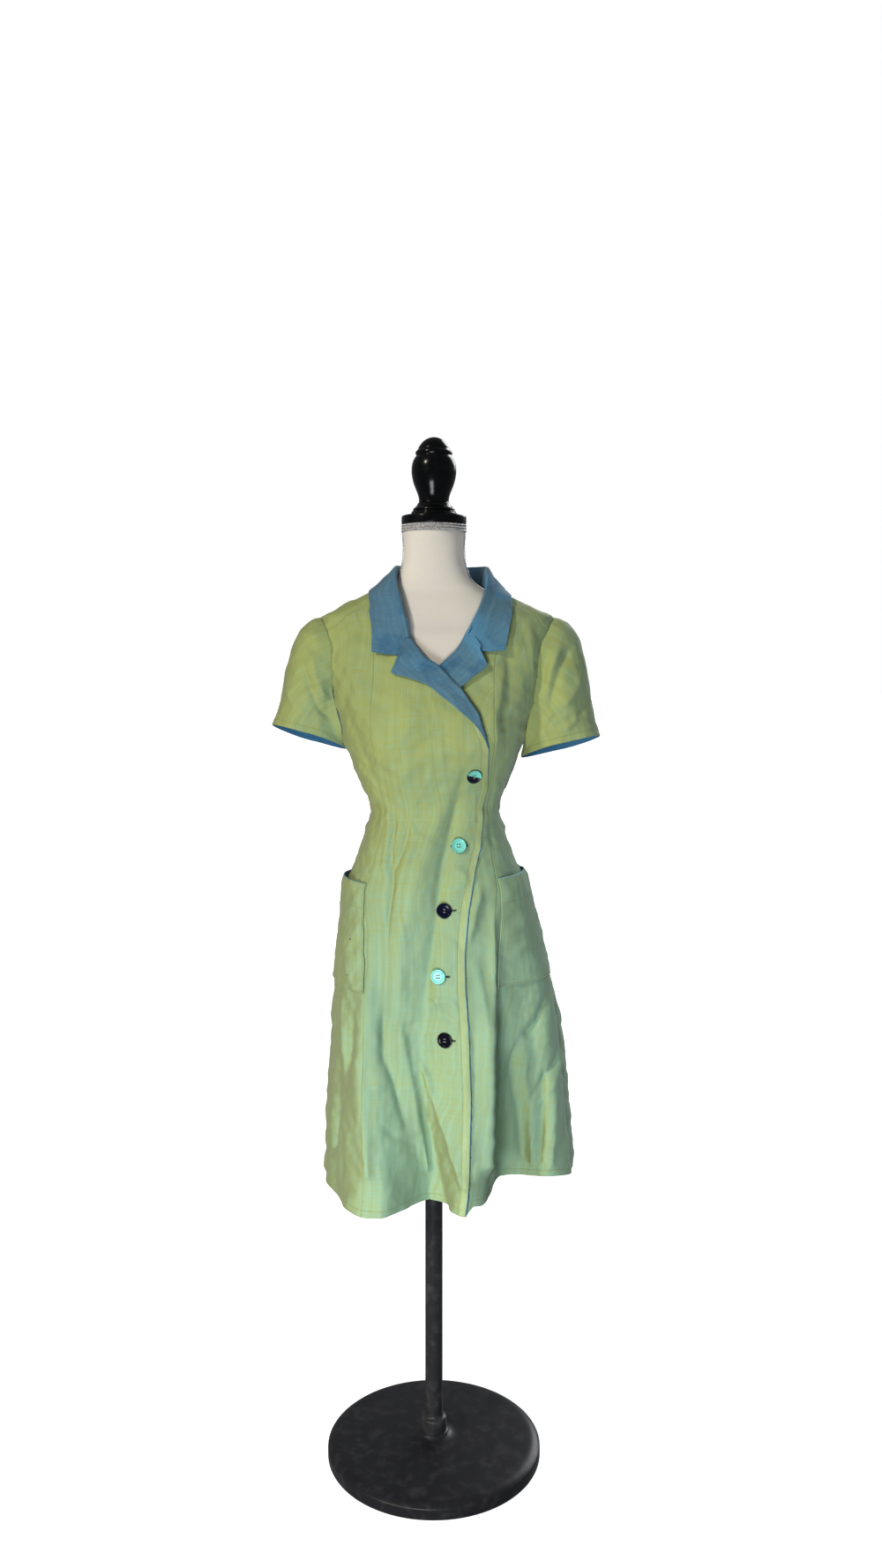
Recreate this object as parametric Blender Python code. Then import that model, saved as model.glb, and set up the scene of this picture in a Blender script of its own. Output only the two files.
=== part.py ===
import bpy
import bmesh
import numpy as np

# Driving sizes of the cloth in metres
CLOTH = 0.002
HALF_SEAM = 0.00018
EASE = 0.0006
LAPEL_AIR = 0.0006
HIP_HEIGHT = 0.930
HEM_HEIGHT = 0.450
SQUARE = 0.03

# Driving sizes of the dress form in metres
FORM_BOTTOM = 0.800
NECK_TOP = 1.4915
NECK_RADIUS = 0.0497
POLE_RADIUS = 0.014
BASE_RADIUS = 0.170
BASE_THICKNESS = 0.026
BUTTON_RADIUS = 0.0117

# Rings of the dress without folds: height, centre x, half width, front reach, back reach
RINGS = np.array([
    (0.450, 0.0243, 0.1973, 0.150, 0.165),
    (0.489, 0.0256, 0.1946, 0.147, 0.162),
    (0.560, 0.0228, 0.1918, 0.142, 0.157),
    (0.631, 0.0220, 0.1868, 0.137, 0.152),
    (0.688, 0.0206, 0.1825, 0.132, 0.147),
    (0.731, 0.0170, 0.1785, 0.129, 0.143),
    (0.773, 0.0135, 0.1715, 0.126, 0.138),
    (0.845, 0.0085, 0.1595, 0.120, 0.130),
    (0.873, 0.0070, 0.1545, 0.117, 0.127),
    (0.915, 0.0045, 0.1450, 0.112, 0.120),
    (0.944, 0.0030, 0.1320, 0.106, 0.110),
    (0.972, 0.0020, 0.1215, 0.099, 0.098),
    (1.001, 0.0020, 0.1115, 0.092, 0.088),
    (1.025, 0.0022, 0.1055, 0.089, 0.083),
    (1.043, 0.0014, 0.1050, 0.090, 0.082),
    (1.072, 0.0004, 0.1150, 0.099, 0.086),
    (1.100, 0.0006, 0.1270, 0.110, 0.092),
    (1.114, 0.0008, 0.1322, 0.115, 0.094),
    (1.143, 0.0000, 0.1440, 0.122, 0.099),
    (1.180, 0.0000, 0.1560, 0.125, 0.104),
    (1.216, 0.0000, 0.1670, 0.118, 0.107),
    (1.258, 0.0000, 0.1770, 0.105, 0.108),
    (1.293, 0.0020, 0.1835, 0.091, 0.105),
    (1.320, 0.0040, 0.1880, 0.079, 0.097),
    (1.342, 0.0050, 0.1865, 0.069, 0.088),
    (1.356, 0.0035, 0.1600, 0.062, 0.080),
    (1.370, 0.0015, 0.1310, 0.056, 0.072),
    (1.380, 0.0000, 0.1080, 0.052, 0.067),
    (1.390, 0.0000, 0.0850, 0.049, 0.062),
    (1.400, 0.0000, 0.0680, 0.047, 0.057),
    (1.412, 0.0000, 0.0590, 0.046, 0.053),
    (1.430, 0.0000, 0.0525, 0.047, 0.050),
    (1.448, 0.0000, 0.0505, 0.048, 0.049),
    (1.478, 0.0000, 0.0520, 0.051, 0.051),
    (1.494, 0.0000, 0.0522, 0.052, 0.052),
])

# Folds of the hem seen from above: angle from the front, x, y, height of the edge
HEM = np.array([
    (-180, 0.010, 0.155, 0.450), (-165, -0.030, 0.168, 0.450), (-150, -0.075, 0.172, 0.450),
    (-135, -0.108, 0.138, 0.450), (-120, -0.140, 0.118, 0.450), (-105, -0.163, 0.070, 0.450),
    (-90, -0.173, 0.012, 0.450), (-80, -0.1706, -0.033, 0.450), (-66, -0.150, -0.086, 0.450),
    (-53, -0.130, -0.142, 0.450), (-45, -0.1045, -0.1695, 0.450), (-38, -0.081, -0.1725, 0.450),
    (-28, -0.0503, -0.142, 0.450), (-19, -0.0220, -0.108, 0.450), (-13, -0.0068, -0.099, 0.450),
    (-7, 0.0068, -0.108, 0.450), (-1.5, 0.0213, -0.130, 0.450), (5.5, 0.0369, -0.1546, 0.450),
    (9.7, 0.0472, -0.1636, 0.450), (15, 0.060, -0.150, 0.450), (19, 0.069, -0.130, 0.450),
    (24, 0.078, -0.108, 0.450), (29, 0.086, -0.072, 0.456), (34, 0.097, -0.046, 0.466),
    (45, 0.128, -0.040, 0.468), (65, 0.176, -0.034, 0.464), (80, 0.212, -0.014, 0.457),
    (90, 0.2216, 0.010, 0.453), (108, 0.199, 0.075, 0.450), (124, 0.168, 0.128, 0.450),
    (140, 0.117, 0.142, 0.450), (156, 0.076, 0.175, 0.450), (170, 0.035, 0.162, 0.450),
])

# Levels of the rows from the hem to the armpit, and the share of the way from there to the top
LEVELS = np.array([0.450, 0.480, 0.515, 0.555, 0.600, 0.645, 0.690, 0.735, 0.780, 0.825, 0.870,
                   0.910, 0.940, 0.970, 1.000, 1.030, 1.060, 1.090, 1.117, 1.143])
SHARES = np.array([0.04, 0.10, 0.18, 0.28, 0.39, 0.51, 0.64, 0.77, 0.89, 1.0])

# Seams of the front, from the hem up: height, angle from the front
PRINCESS_RIGHT = np.array([
    (0.450, -46.2), (0.546, -44.4), (0.671, -42.5), (0.774, -40.3), (0.852, -41.0), (0.926, -45.5),
    (0.970, -45.5), (1.010, -45.2), (1.045, -44.5), (1.080, -42.3), (1.137, -36.9), (1.205, -31.9),
    (1.279, -28.0), (1.330, -30.0), (1.354, -36.0), (1.3655, -42.6)])
PRINCESS_LEFT = np.array([
    (0.450, 23.6), (0.560, 21.9), (0.669, 22.4), (0.773, 26.0), (0.866, 30.7), (0.941, 40.1),
    (0.997, 46.0), (1.044, 48.3), (1.109, 39.3), (1.205, 30.8), (1.279, 28.7), (1.330, 31.0),
    (1.356, 40.0), (1.370, 57.5)])
EDGE_RIGHT = np.array([
    (0.450, 9.7), (0.510, 10.7), (0.610, 11.4), (0.675, 10.8), (0.765, 11.1), (0.817, 12.1),
    (0.856, 13.7), (0.895, 16.4), (0.947, 24.3), (0.998, 35.4), (1.030, 39.8), (1.066, 40.8),
    (1.110, 34.6), (1.142, 31.2), (1.158, 28.4), (1.176, 25.0), (1.192, 22.9), (1.212, 17.5),
    (1.232, 12.4), (1.256, 5.1), (1.267, 1.6), (1.276, -2.9), (1.290, -7.0), (1.310, -11.1),
    (1.333, -12.8), (1.368, -20.8), (1.380, -28.0), (1.388, -38.0)])
EDGE_LEFT = np.array([
    (0.450, -11.0), (0.600, -10.5), (0.800, -11.0), (0.895, -13.0), (0.947, -16.0), (1.000, -22.0),
    (1.050, -24.0), (1.110, -18.0), (1.158, -15.0), (1.190, -14.0), (1.215, -12.5), (1.232, -9.5),
    (1.250, -4.0), (1.267, 2.1), (1.276, 5.0), (1.299, 11.3), (1.318, 14.0), (1.345, 19.0),
    (1.371, 34.0), (1.3855, 55.0)])

# Yoke seam on each side of the neck, from the neck to the armhole: angle, height
YOKE_RIGHT = np.array([(-38.0, 1.388), (-40.4, 1.3760), (-42.4, 1.3655), (-44.8, 1.3500),
                       (-48.0, 1.339), (-55.0, 1.3282), (-63.5, 1.320)])
YOKE_LEFT = np.array([(55.0, 1.3855), (56.5, 1.3770), (57.0, 1.3690), (54.0, 1.3500),
                      (55.8, 1.336), (60.0, 1.327), (66.0, 1.320)])
YOKE_SPLIT = 2

# Armholes: front part from the armpit to the yoke, then over the shoulder, then down the back
ARM_FRONT_RIGHT = np.array([(-90, 1.143), (-80, 1.147), (-73, 1.156), (-70, 1.170), (-69.5, 1.190),
                            (-68.5, 1.215), (-61, 1.257), (-58.5, 1.294), (-63.5, 1.320)])
ARM_FRONT_LEFT = np.array([(90, 1.143), (80, 1.147), (74, 1.156), (71, 1.170), (69, 1.188),
                           (67, 1.216), (63.5, 1.257), (60, 1.292), (66, 1.320)])
ARM_TOP = np.array([(64, 1.320), (70, 1.331), (79, 1.339), (90, 1.342), (103, 1.339),
                    (113, 1.325), (118, 1.300), (118, 1.265)])
ARM_BACK = np.array([(90, 1.143), (98, 1.147), (106, 1.158), (111, 1.178), (114, 1.205),
                     (117, 1.235), (118, 1.265)])

# Hems of the sleeves: centre x, y, z, half width, half depth, rise to the arm side, rise to the front
SLEEVE_HEMS = {
    "right": (-0.1995, 0.002, 1.1490, 0.0585, 0.0560, 0.0185, 0.0060),
    "left": (0.2035, 0.002, 1.1360, 0.0620, 0.0570, 0.0170, 0.0060),
}

# Collar from its right front end round the back to its left front end: angle and height of the
# neck seam, roll x, y, z, angle and height of the outer edge, share that lies flat on the dress
COLLAR = np.array([
    (-11.1, 1.3105, -0.0385, -0.0885, 1.3105, -28.4, 1.2850, 1.0),
    (-12.3, 1.3250, -0.0405, -0.0815, 1.3250, -29.5, 1.3030, 1.0),
    (-14.0, 1.3400, -0.0440, -0.0760, 1.3420, -31.5, 1.3230, 1.0),
    (-20.0, 1.3670, -0.0510, -0.0660, 1.3660, -36.0, 1.3460, 0.9),
    (-32.0, 1.3850, -0.0565, -0.0530, 1.3880, -48.0, 1.3640, 0.6),
    (-60.0, 1.3975, -0.0590, -0.0330, 1.4080, -68.0, 1.3770, 0.3),
    (-90.0, 1.4010, -0.0590, -0.0010, 1.4225, -96.0, 1.3790, 0.1),
    (-125.0, 1.4030, -0.0500, 0.0360, 1.4240, -128.0, 1.3720, 0.0),
    (-155.0, 1.4040, -0.0270, 0.0590, 1.4240, -156.0, 1.3600, 0.0),
    (-180.0, 1.4040, 0.0040, 0.0660, 1.4240, -180.0, 1.3560, 0.0),
    (-205.0, 1.4030, 0.0350, 0.0590, 1.4240, -204.0, 1.3590, 0.0),
    (-235.0, 1.4000, 0.0650, 0.0380, 1.4235, -232.0, 1.3660, 0.0),
    (-268.0, 1.3930, 0.0850, 0.0020, 1.4225, -265.0, 1.3700, 0.1),
    (-290.0, 1.3880, 0.0840, -0.0270, 1.4080, -289.0, 1.3680, 0.3),
    (-315.0, 1.3790, 0.0800, -0.0500, 1.3840, -308.0, 1.3590, 0.6),
    (-334.0, 1.3610, 0.0730, -0.0640, 1.3620, -318.0, 1.3400, 0.9),
    (-342.0, 1.3420, 0.0640, -0.0750, 1.3420, -322.0, 1.3200, 1.0),
    (-345.0, 1.3270, 0.0560, -0.0820, 1.3270, -324.0, 1.3040, 1.0),
    (-346.0, 1.3180, 0.0510, -0.0850, 1.3180, -325.6, 1.2910, 1.0),
])

# Drop of the collar's front end below a straight line, at four points from the roll outward
NOTCH_DROP = np.array([0.0215, 0.0170, 0.0108, 0.0045])

# Lapels from the gorge down: angle and height on the roll line, angle and height on the outer edge
LAPEL_RIGHT = np.array([
    (-11.1, 1.3085, -15.2, 1.2780), (-9.0, 1.2980, -16.8, 1.2660), (-6.6, 1.2880, -18.8, 1.2531),
    (-2.9, 1.2760, -10.5, 1.2440), (1.6, 1.2670, -2.8, 1.2345), (7.0, 1.2490, 2.4, 1.2212),
    (12.4, 1.2315, 8.6, 1.2060), (17.5, 1.2115, 14.3, 1.1920), (22.9, 1.1915, 20.5, 1.1790),
    (26.4, 1.1700, 25.3, 1.1660)])
LAPEL_LEFT = np.array([
    (14.2, 1.3160, 19.6, 1.2890), (12.0, 1.3030, 21.6, 1.2780), (9.5, 1.2915, 23.9, 1.2640),
    (5.0, 1.2760, 18.2, 1.2490), (2.1, 1.2670, 12.4, 1.2330), (-2.0, 1.2550, 6.0, 1.2190),
    (-7.0, 1.2400, -1.0, 1.2100)])

# Pockets: angle of the front edge at the top and bottom, angle of the back edge, top, bottom
POCKETS = {
    "right": (-46.2, -41.2, -118.0, 0.9270, 0.7680),
    "left": (41.2, 27.0, 118.0, 0.9360, 0.7720),
}

# Buttons from the top: angle and height on the front, tilt follows the cloth
BUTTONS = [(25.6, 1.0991), (16.2, 0.9879), (3.5, 0.8933), (-1.3, 0.7956), (-0.4, 0.7006)]

# Outline of the black cap, from the neck up: radius, height
CAP = [(0.0515, 1.4918), (0.0522, 1.4940), (0.0520, 1.5035), (0.0500, 1.5055), (0.0400, 1.5062),
       (0.0365, 1.5080), (0.0360, 1.5105), (0.0330, 1.5120), (0.0345, 1.5140), (0.0340, 1.5165),
       (0.0290, 1.5200), (0.0260, 1.5255)]

# Outline of the knob, from the cap up: radius, height
KNOB = [(0.0245, 1.5260), (0.0242, 1.5310), (0.0255, 1.5380), (0.0300, 1.5500), (0.0345, 1.5620),
        (0.0361, 1.5740), (0.0356, 1.5840), (0.0330, 1.5940), (0.0292, 1.6005), (0.0284, 1.6030),
        (0.0296, 1.6050), (0.0294, 1.6085), (0.0270, 1.6105), (0.0245, 1.6140), (0.0210, 1.6200),
        (0.0150, 1.6265), (0.0080, 1.6305), (0.0025, 1.6320)]


def smooth_line(x, xs, ys):
    """A smooth line through the rows of a table that never swings past them."""
    x = np.asarray(x, float)
    step = np.diff(xs)
    slope = np.diff(ys) / step
    tangent = np.empty(len(xs))
    tangent[0] = slope[0]
    tangent[-1] = slope[-1]
    same = slope[:-1] * slope[1:] > 0
    total = np.where(same, slope[:-1] + slope[1:], 1.0)
    tangent[1:-1] = np.where(same, 2 * slope[:-1] * slope[1:] / total, 0.0)
    i = np.clip(np.searchsorted(xs, x) - 1, 0, len(xs) - 2)
    s = np.clip((x - xs[i]) / step[i], 0, 1)
    rise = (3 * s**2 - 2 * s**3) * (ys[i + 1] - ys[i])
    bend = (s**3 - 2 * s**2 + s) * tangent[i] + (s**3 - s**2) * tangent[i + 1]
    return ys[i] + rise + bend * step[i]


def body(angle, height):
    """The dress as if it hung without folds: each ring is a squared ellipse."""
    a = np.radians(angle)
    centre, half, front, back = (smooth_line(height, RINGS[:, 0], RINGS[:, k]) for k in (1, 2, 3, 4))
    x = centre + half * (np.sin(a) + SQUARE * np.sin(3 * a)) / (1 - SQUARE)
    turn = (np.cos(a) - SQUARE * np.cos(3 * a)) / (1 - SQUARE)
    y = -np.where(turn > 0, front, back) * turn
    for side in (-1, 1):
        bust = np.exp(-((x - side * 0.078) / 0.05) ** 2 - ((height - 1.158) / 0.06) ** 2)
        y = y - 0.007 * bust * (turn > 0)
    return x, y


def shell(angle, height, folds=1.0):
    """Outer face of the cloth: the body rings, drawn toward the folded hem below the hip."""
    angle, height = np.broadcast_arrays(np.asarray(angle, float), np.asarray(height, float))
    x, y = body(angle, height)
    turn = (angle + 180) % 360 - 180
    wrapped = np.vstack([HEM - (360, 0, 0, 0), HEM, HEM + (360, 0, 0, 0)])
    hem_x, hem_y = body(angle, np.full(height.shape, HEM_HEIGHT))
    share = folds * np.clip((HIP_HEIGHT - height) / (HIP_HEIGHT - HEM_HEIGHT), 0, 1) ** 1.5
    x = x + (smooth_line(turn, wrapped[:, 0], wrapped[:, 1]) - hem_x) * share
    y = y + (smooth_line(turn, wrapped[:, 0], wrapped[:, 2]) - hem_y) * share
    z = height + (smooth_line(turn, wrapped[:, 0], wrapped[:, 3]) - HEM_HEIGHT) * share
    return np.stack([x, y, z], -1)


def outward(angle, height, folds=1.0):
    """Unit normals of the outer face."""
    along = shell(angle + 0.4, height, folds) - shell(angle - 0.4, height, folds)
    up = shell(angle, height + 0.0006, folds) - shell(angle, height - 0.0006, folds)
    normal = np.cross(along, up)
    return normal / np.linalg.norm(normal, axis=-1, keepdims=True)


def ramp(x, low, high):
    """Soft step from 0 to 1."""
    s = np.clip((x - low) / (high - low), 0, 1)
    return s * s * (3 - 2 * s)


def at(line, height):
    """Angle of a seam at a height."""
    return smooth_line(height, line[:, 0], line[:, 1])


def spread(line, count):
    """Evenly spaced points along a table of angle and height."""
    fine = np.linspace(0, len(line) - 1, 200)
    rows = np.arange(len(line))
    path = np.stack([smooth_line(fine, rows, line[:, 0]), smooth_line(fine, rows, line[:, 1])], -1)
    step = np.linalg.norm(np.diff(shell(path[:, 0], path[:, 1]), axis=0), axis=1)
    gone = np.concatenate([[0], np.cumsum(step)])
    want = np.linspace(0, gone[-1], count)
    return np.stack([np.interp(want, gone, path[:, 0]), np.interp(want, gone, path[:, 1])], -1)


def seam(line):
    """Points of a seam: one for each level up to the armpit, then one for each share above it."""
    top = line[-1, 0]
    heights = np.concatenate([LEVELS, LEVELS[-1] + SHARES * (top - LEVELS[-1])])
    return np.stack([at(line, heights), heights], -1)


def armhole(line, side):
    """Points of a side seam and then an armhole: the same count as a seam."""
    low = np.stack([np.full(len(LEVELS), side * 90.0), LEVELS], -1)
    high = spread(line, len(SHARES) + 1)[1:]
    return np.vstack([low, high])


def along_line(points, count):
    """Even points along the straight pieces of a line."""
    at_row = np.linspace(0, len(points) - 1, count)
    rows = np.arange(len(points))
    return np.stack([np.interp(at_row, rows, points[:, k]) for k in (0, 1)], -1)


def patch(left, right, columns, top=None):
    """Grid of angle and height between two seams, its last row drawn to the line top."""
    u = np.linspace(0, 1, columns)[None, :, None]
    grid = left[:, None] * (1 - u) + right[:, None] * u
    if top is not None:
        weight = np.zeros(len(left))
        weight[-5:] = (0.05, 0.2, 0.45, 0.75, 1.0)
        grid = grid + weight[:, None, None] * (top - grid[-1])[None]
    return grid


def face_right(angle, height):
    """Height of the over front's face above the body: it clears the layers below it."""
    x = shell(angle, height)[..., 0]
    share = ramp(x, -0.085, -0.045) * (1 - ramp(height, 1.272, 1.304))
    low = 0.0034 + 0.0016 * (1 - ramp(height, 0.560, 0.760))
    return share * (low + 0.0020 * ramp(height, 1.150, 1.205))


def link(name, vertices, faces, material):
    """A named object from points and faces, with outward normals."""
    mesh = bpy.data.meshes.new(name)
    mesh.from_pydata([tuple(map(float, v)) for v in vertices], [], [tuple(map(int, f)) for f in faces])
    work = bmesh.new()
    work.from_mesh(mesh)
    bmesh.ops.remove_doubles(work, verts=work.verts, dist=0.000001)
    bmesh.ops.triangulate(work, faces=work.faces)
    bmesh.ops.recalc_face_normals(work, faces=work.faces)
    if work.calc_volume(signed=True) < 0:
        bmesh.ops.reverse_faces(work, faces=work.faces)
    work.to_mesh(mesh)
    work.free()
    item = bpy.data.objects.new(name, mesh)
    bpy.context.scene.collection.objects.link(item)
    item.data.materials.append(material)
    return item


def draw_in(points, amount):
    """Pull the four edges of a grid toward its middle."""
    moved = points.copy()
    for edge, inner in ((0, 1), (-1, -2)):
        step = points[edge] - points[inner]
        moved[edge] -= amount * step / np.linalg.norm(step, axis=-1, keepdims=True)
    base = moved.copy()
    for edge, inner in ((0, 1), (-1, -2)):
        step = base[:, edge] - base[:, inner]
        moved[:, edge] -= amount * step / np.linalg.norm(step, axis=-1, keepdims=True)
    return moved


def wall(name, outer, inner, material, ring=False):
    """A closed cloth wall between two grids of points."""
    rows, columns = outer.shape[:2]
    count = rows * columns
    vertices = np.vstack([outer.reshape(-1, 3), inner.reshape(-1, 3)])
    index = np.arange(count).reshape(rows, columns)
    if ring:
        index = np.concatenate([index, index[:, :1]], 1)
    a, b = index[:-1, :-1].ravel(), index[:-1, 1:].ravel()
    c, d = index[1:, 1:].ravel(), index[1:, :-1].ravel()
    faces = [tuple(f) for f in np.stack([a, b, c, d], -1)]
    faces += [tuple(f + count) for f in np.stack([d, c, b, a], -1)]
    rims = [index[0][::-1], index[-1]]
    if not ring:
        rims += [index[:, 0], index[:, -1][::-1]]
    for rim in rims:
        for p, q in zip(rim[:-1], rim[1:]):
            faces.append((q, p, p + count, q + count))
    return link(name, vertices, faces, material)


def cloth(name, grid, lift, material):
    """A cloth wall on a grid of angle and height, moved out by lift."""
    angle, height = grid[..., 0], grid[..., 1]
    normal = outward(angle, height)
    outer = shell(angle, height) + normal * np.asarray(lift)[..., None]
    inner = outer - normal * CLOTH
    wall(name, draw_in(outer, HALF_SEAM), draw_in(inner, HALF_SEAM), material)


def turned(name, profile, material, segments=36, close=True):
    """A turned solid on the z axis from a table of radius and height."""
    profile = np.array(profile)
    a = np.linspace(0, 2 * np.pi, segments, endpoint=False)
    ring = np.stack([np.cos(a), np.sin(a)], -1)
    vertices = []
    for radius, height in profile:
        vertices += [(radius * c, radius * s, height) for c, s in ring]
    faces = []
    for k in range(len(profile) - 1):
        for i in range(segments):
            j = (i + 1) % segments
            low, high = k * segments, (k + 1) * segments
            faces.append((low + i, low + j, high + j, high + i))
    faces.append(tuple(range(segments))[::-1])
    faces.append(tuple((len(profile) - 1) * segments + i for i in range(segments)))
    return link(name, vertices, faces, material)


def paint(name, colour, roughness, metallic=0.0):
    """A plain surface colour."""
    material = bpy.data.materials.new(name)
    material.use_nodes = True
    shader = material.node_tree.nodes["Principled BSDF"]
    shader.inputs["Base Color"].default_value = (*colour, 1.0)
    shader.inputs["Roughness"].default_value = roughness
    shader.inputs["Metallic"].default_value = metallic
    return material


for old in list(bpy.data.objects):
    bpy.data.objects.remove(old, do_unlink=True)

# Yoke seams in front: four points to the princess seam and seven from there to the armhole
yoke_right = np.vstack([spread(YOKE_RIGHT[:YOKE_SPLIT + 1], 4), spread(YOKE_RIGHT[YOKE_SPLIT:], 7)[1:]])
yoke_left = np.vstack([spread(YOKE_LEFT[:YOKE_SPLIT + 1], 4), spread(YOKE_LEFT[YOKE_SPLIT:], 7)[1:]])
PRINCESS_RIGHT[-1] = yoke_right[3][::-1]
PRINCESS_LEFT[-1] = yoke_left[3][::-1]

# Seams shared by neighbouring panels
princess_right = seam(PRINCESS_RIGHT)
princess_left = seam(PRINCESS_LEFT)
edge_right = seam(EDGE_RIGHT)
edge_left = seam(EDGE_LEFT)
front_arm_right = armhole(ARM_FRONT_RIGHT, -1)
front_arm_left = armhole(ARM_FRONT_LEFT, 1)
back_arm_left = armhole(ARM_BACK, 1)
back_arm_right = back_arm_left * (-1, 1)
top_right = ARM_TOP * (-1, 1)
top_right[0] = ARM_FRONT_RIGHT[-1]
top_left = ARM_TOP.copy()
top_left[0] = ARM_FRONT_LEFT[-1]
over_right = spread(top_right, 10)
over_left = spread(top_left, 10)


# Side front of the wearer's right, between the side seam and the princess seam
grid = patch(front_arm_right, princess_right, 7, yoke_right[3:][::-1])
cloth("side_front_right", grid, np.zeros(grid.shape[:2]), paint("linen_side_right", (0.19, 0.29, 0.13), 0.9))

# Side front of the wearer's left
grid = patch(princess_left, front_arm_left, 7, yoke_left[3:])
cloth("side_front_left", grid, np.zeros(grid.shape[:2]), paint("linen_side_left", (0.19, 0.29, 0.13), 0.9))

# Under front, from its hidden edge to the princess seam
grid = patch(edge_left, princess_left, 10, along_line(yoke_left[:4], 10))
cloth("front_left", grid, np.zeros(grid.shape[:2]), paint("linen_front_left", (0.22, 0.34, 0.17), 0.9))

# Over front, lifted clear of the under front and of the under lapel
grid = patch(princess_right, edge_right, 13, along_line(yoke_right[:4], 13)[::-1])
over_lift = face_right(grid[..., 0], grid[..., 1])
cloth("front_right", grid, over_lift, paint("linen_front_right", (0.23, 0.36, 0.16), 0.9))

# Back up to the yoke
u = np.linspace(0, 1, 15)[None, :, None]
right_turned = back_arm_right + (360, 0)
grid = back_arm_left[:, None] * (1 - u) + right_turned[:, None] * u
cloth("back", grid, np.zeros(grid.shape[:2]), paint("linen_back", (0.20, 0.31, 0.14), 0.9))

# Share of the neckline that faces each part of the yoke's outer edge: point, angle
NECK_STEPS = np.array([(0, -38), (9, -122), (23, -238), (32, -305)])

# Yoke round the neck: first and last columns are the front yoke seams
back_top = grid[-1]
outer_line = np.vstack([over_right[:-1], (back_top - (360, 0))[::-1], (over_left - (360, 0))[::-1][1:]])
neck_row = np.array([(-38, 1.388), (-60, 1.3975), (-90, 1.401), (-130, 1.403), (-180, 1.404),
                     (-230, 1.401), (-268, 1.393), (-290, 1.3885), (-305, 1.3855)])
place = np.interp(np.arange(len(outer_line)), NECK_STEPS[:, 0], NECK_STEPS[:, 1])
inner_line = np.stack([place, smooth_line(-place, -neck_row[:, 0], neck_row[:, 1])], -1)
first = yoke_right
last = yoke_left - (360, 0)
w = np.array([0, 0.10, 0.20, 0.31, 0.43, 0.55, 0.67, 0.79, 0.90, 1.0])[:, None, None]
s = np.linspace(0, 1, len(outer_line))[None, :, None]
blend = inner_line[None] * (1 - w) + outer_line[None] * w
near_first = first[:, None] - (first[0] * (1 - w) + first[-1] * w)
near_last = last[:, None] - (last[0] * (1 - w) + last[-1] * w)
grid = blend + near_first * np.clip(1 - 5 * s, 0, 1) + near_last * np.clip(5 * s - 4, 0, 1)
cloth("yoke", grid[:, ::-1], np.zeros(grid.shape[:2]), paint("linen_yoke", (0.24, 0.35, 0.16), 0.9))


def stand_off(points, room, where):
    """Points moved out until they clear the body rings by room."""
    angle = np.linspace(-180, 180, 361)
    height = np.clip(points[..., 2], HEM_HEIGHT, 1.49)
    rings = shell(angle, height[..., None])
    gap = np.linalg.norm(rings - points[..., None, :], axis=-1)
    best = gap.argmin(-1)
    near = np.take_along_axis(rings, best[..., None, None], -2)[..., 0, :]
    normal = outward(angle[best], height)
    depth = ((points - near) * normal).sum(-1, keepdims=True)
    return points + np.where(where, np.clip(room - depth, 0, None), 0) * normal


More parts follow.
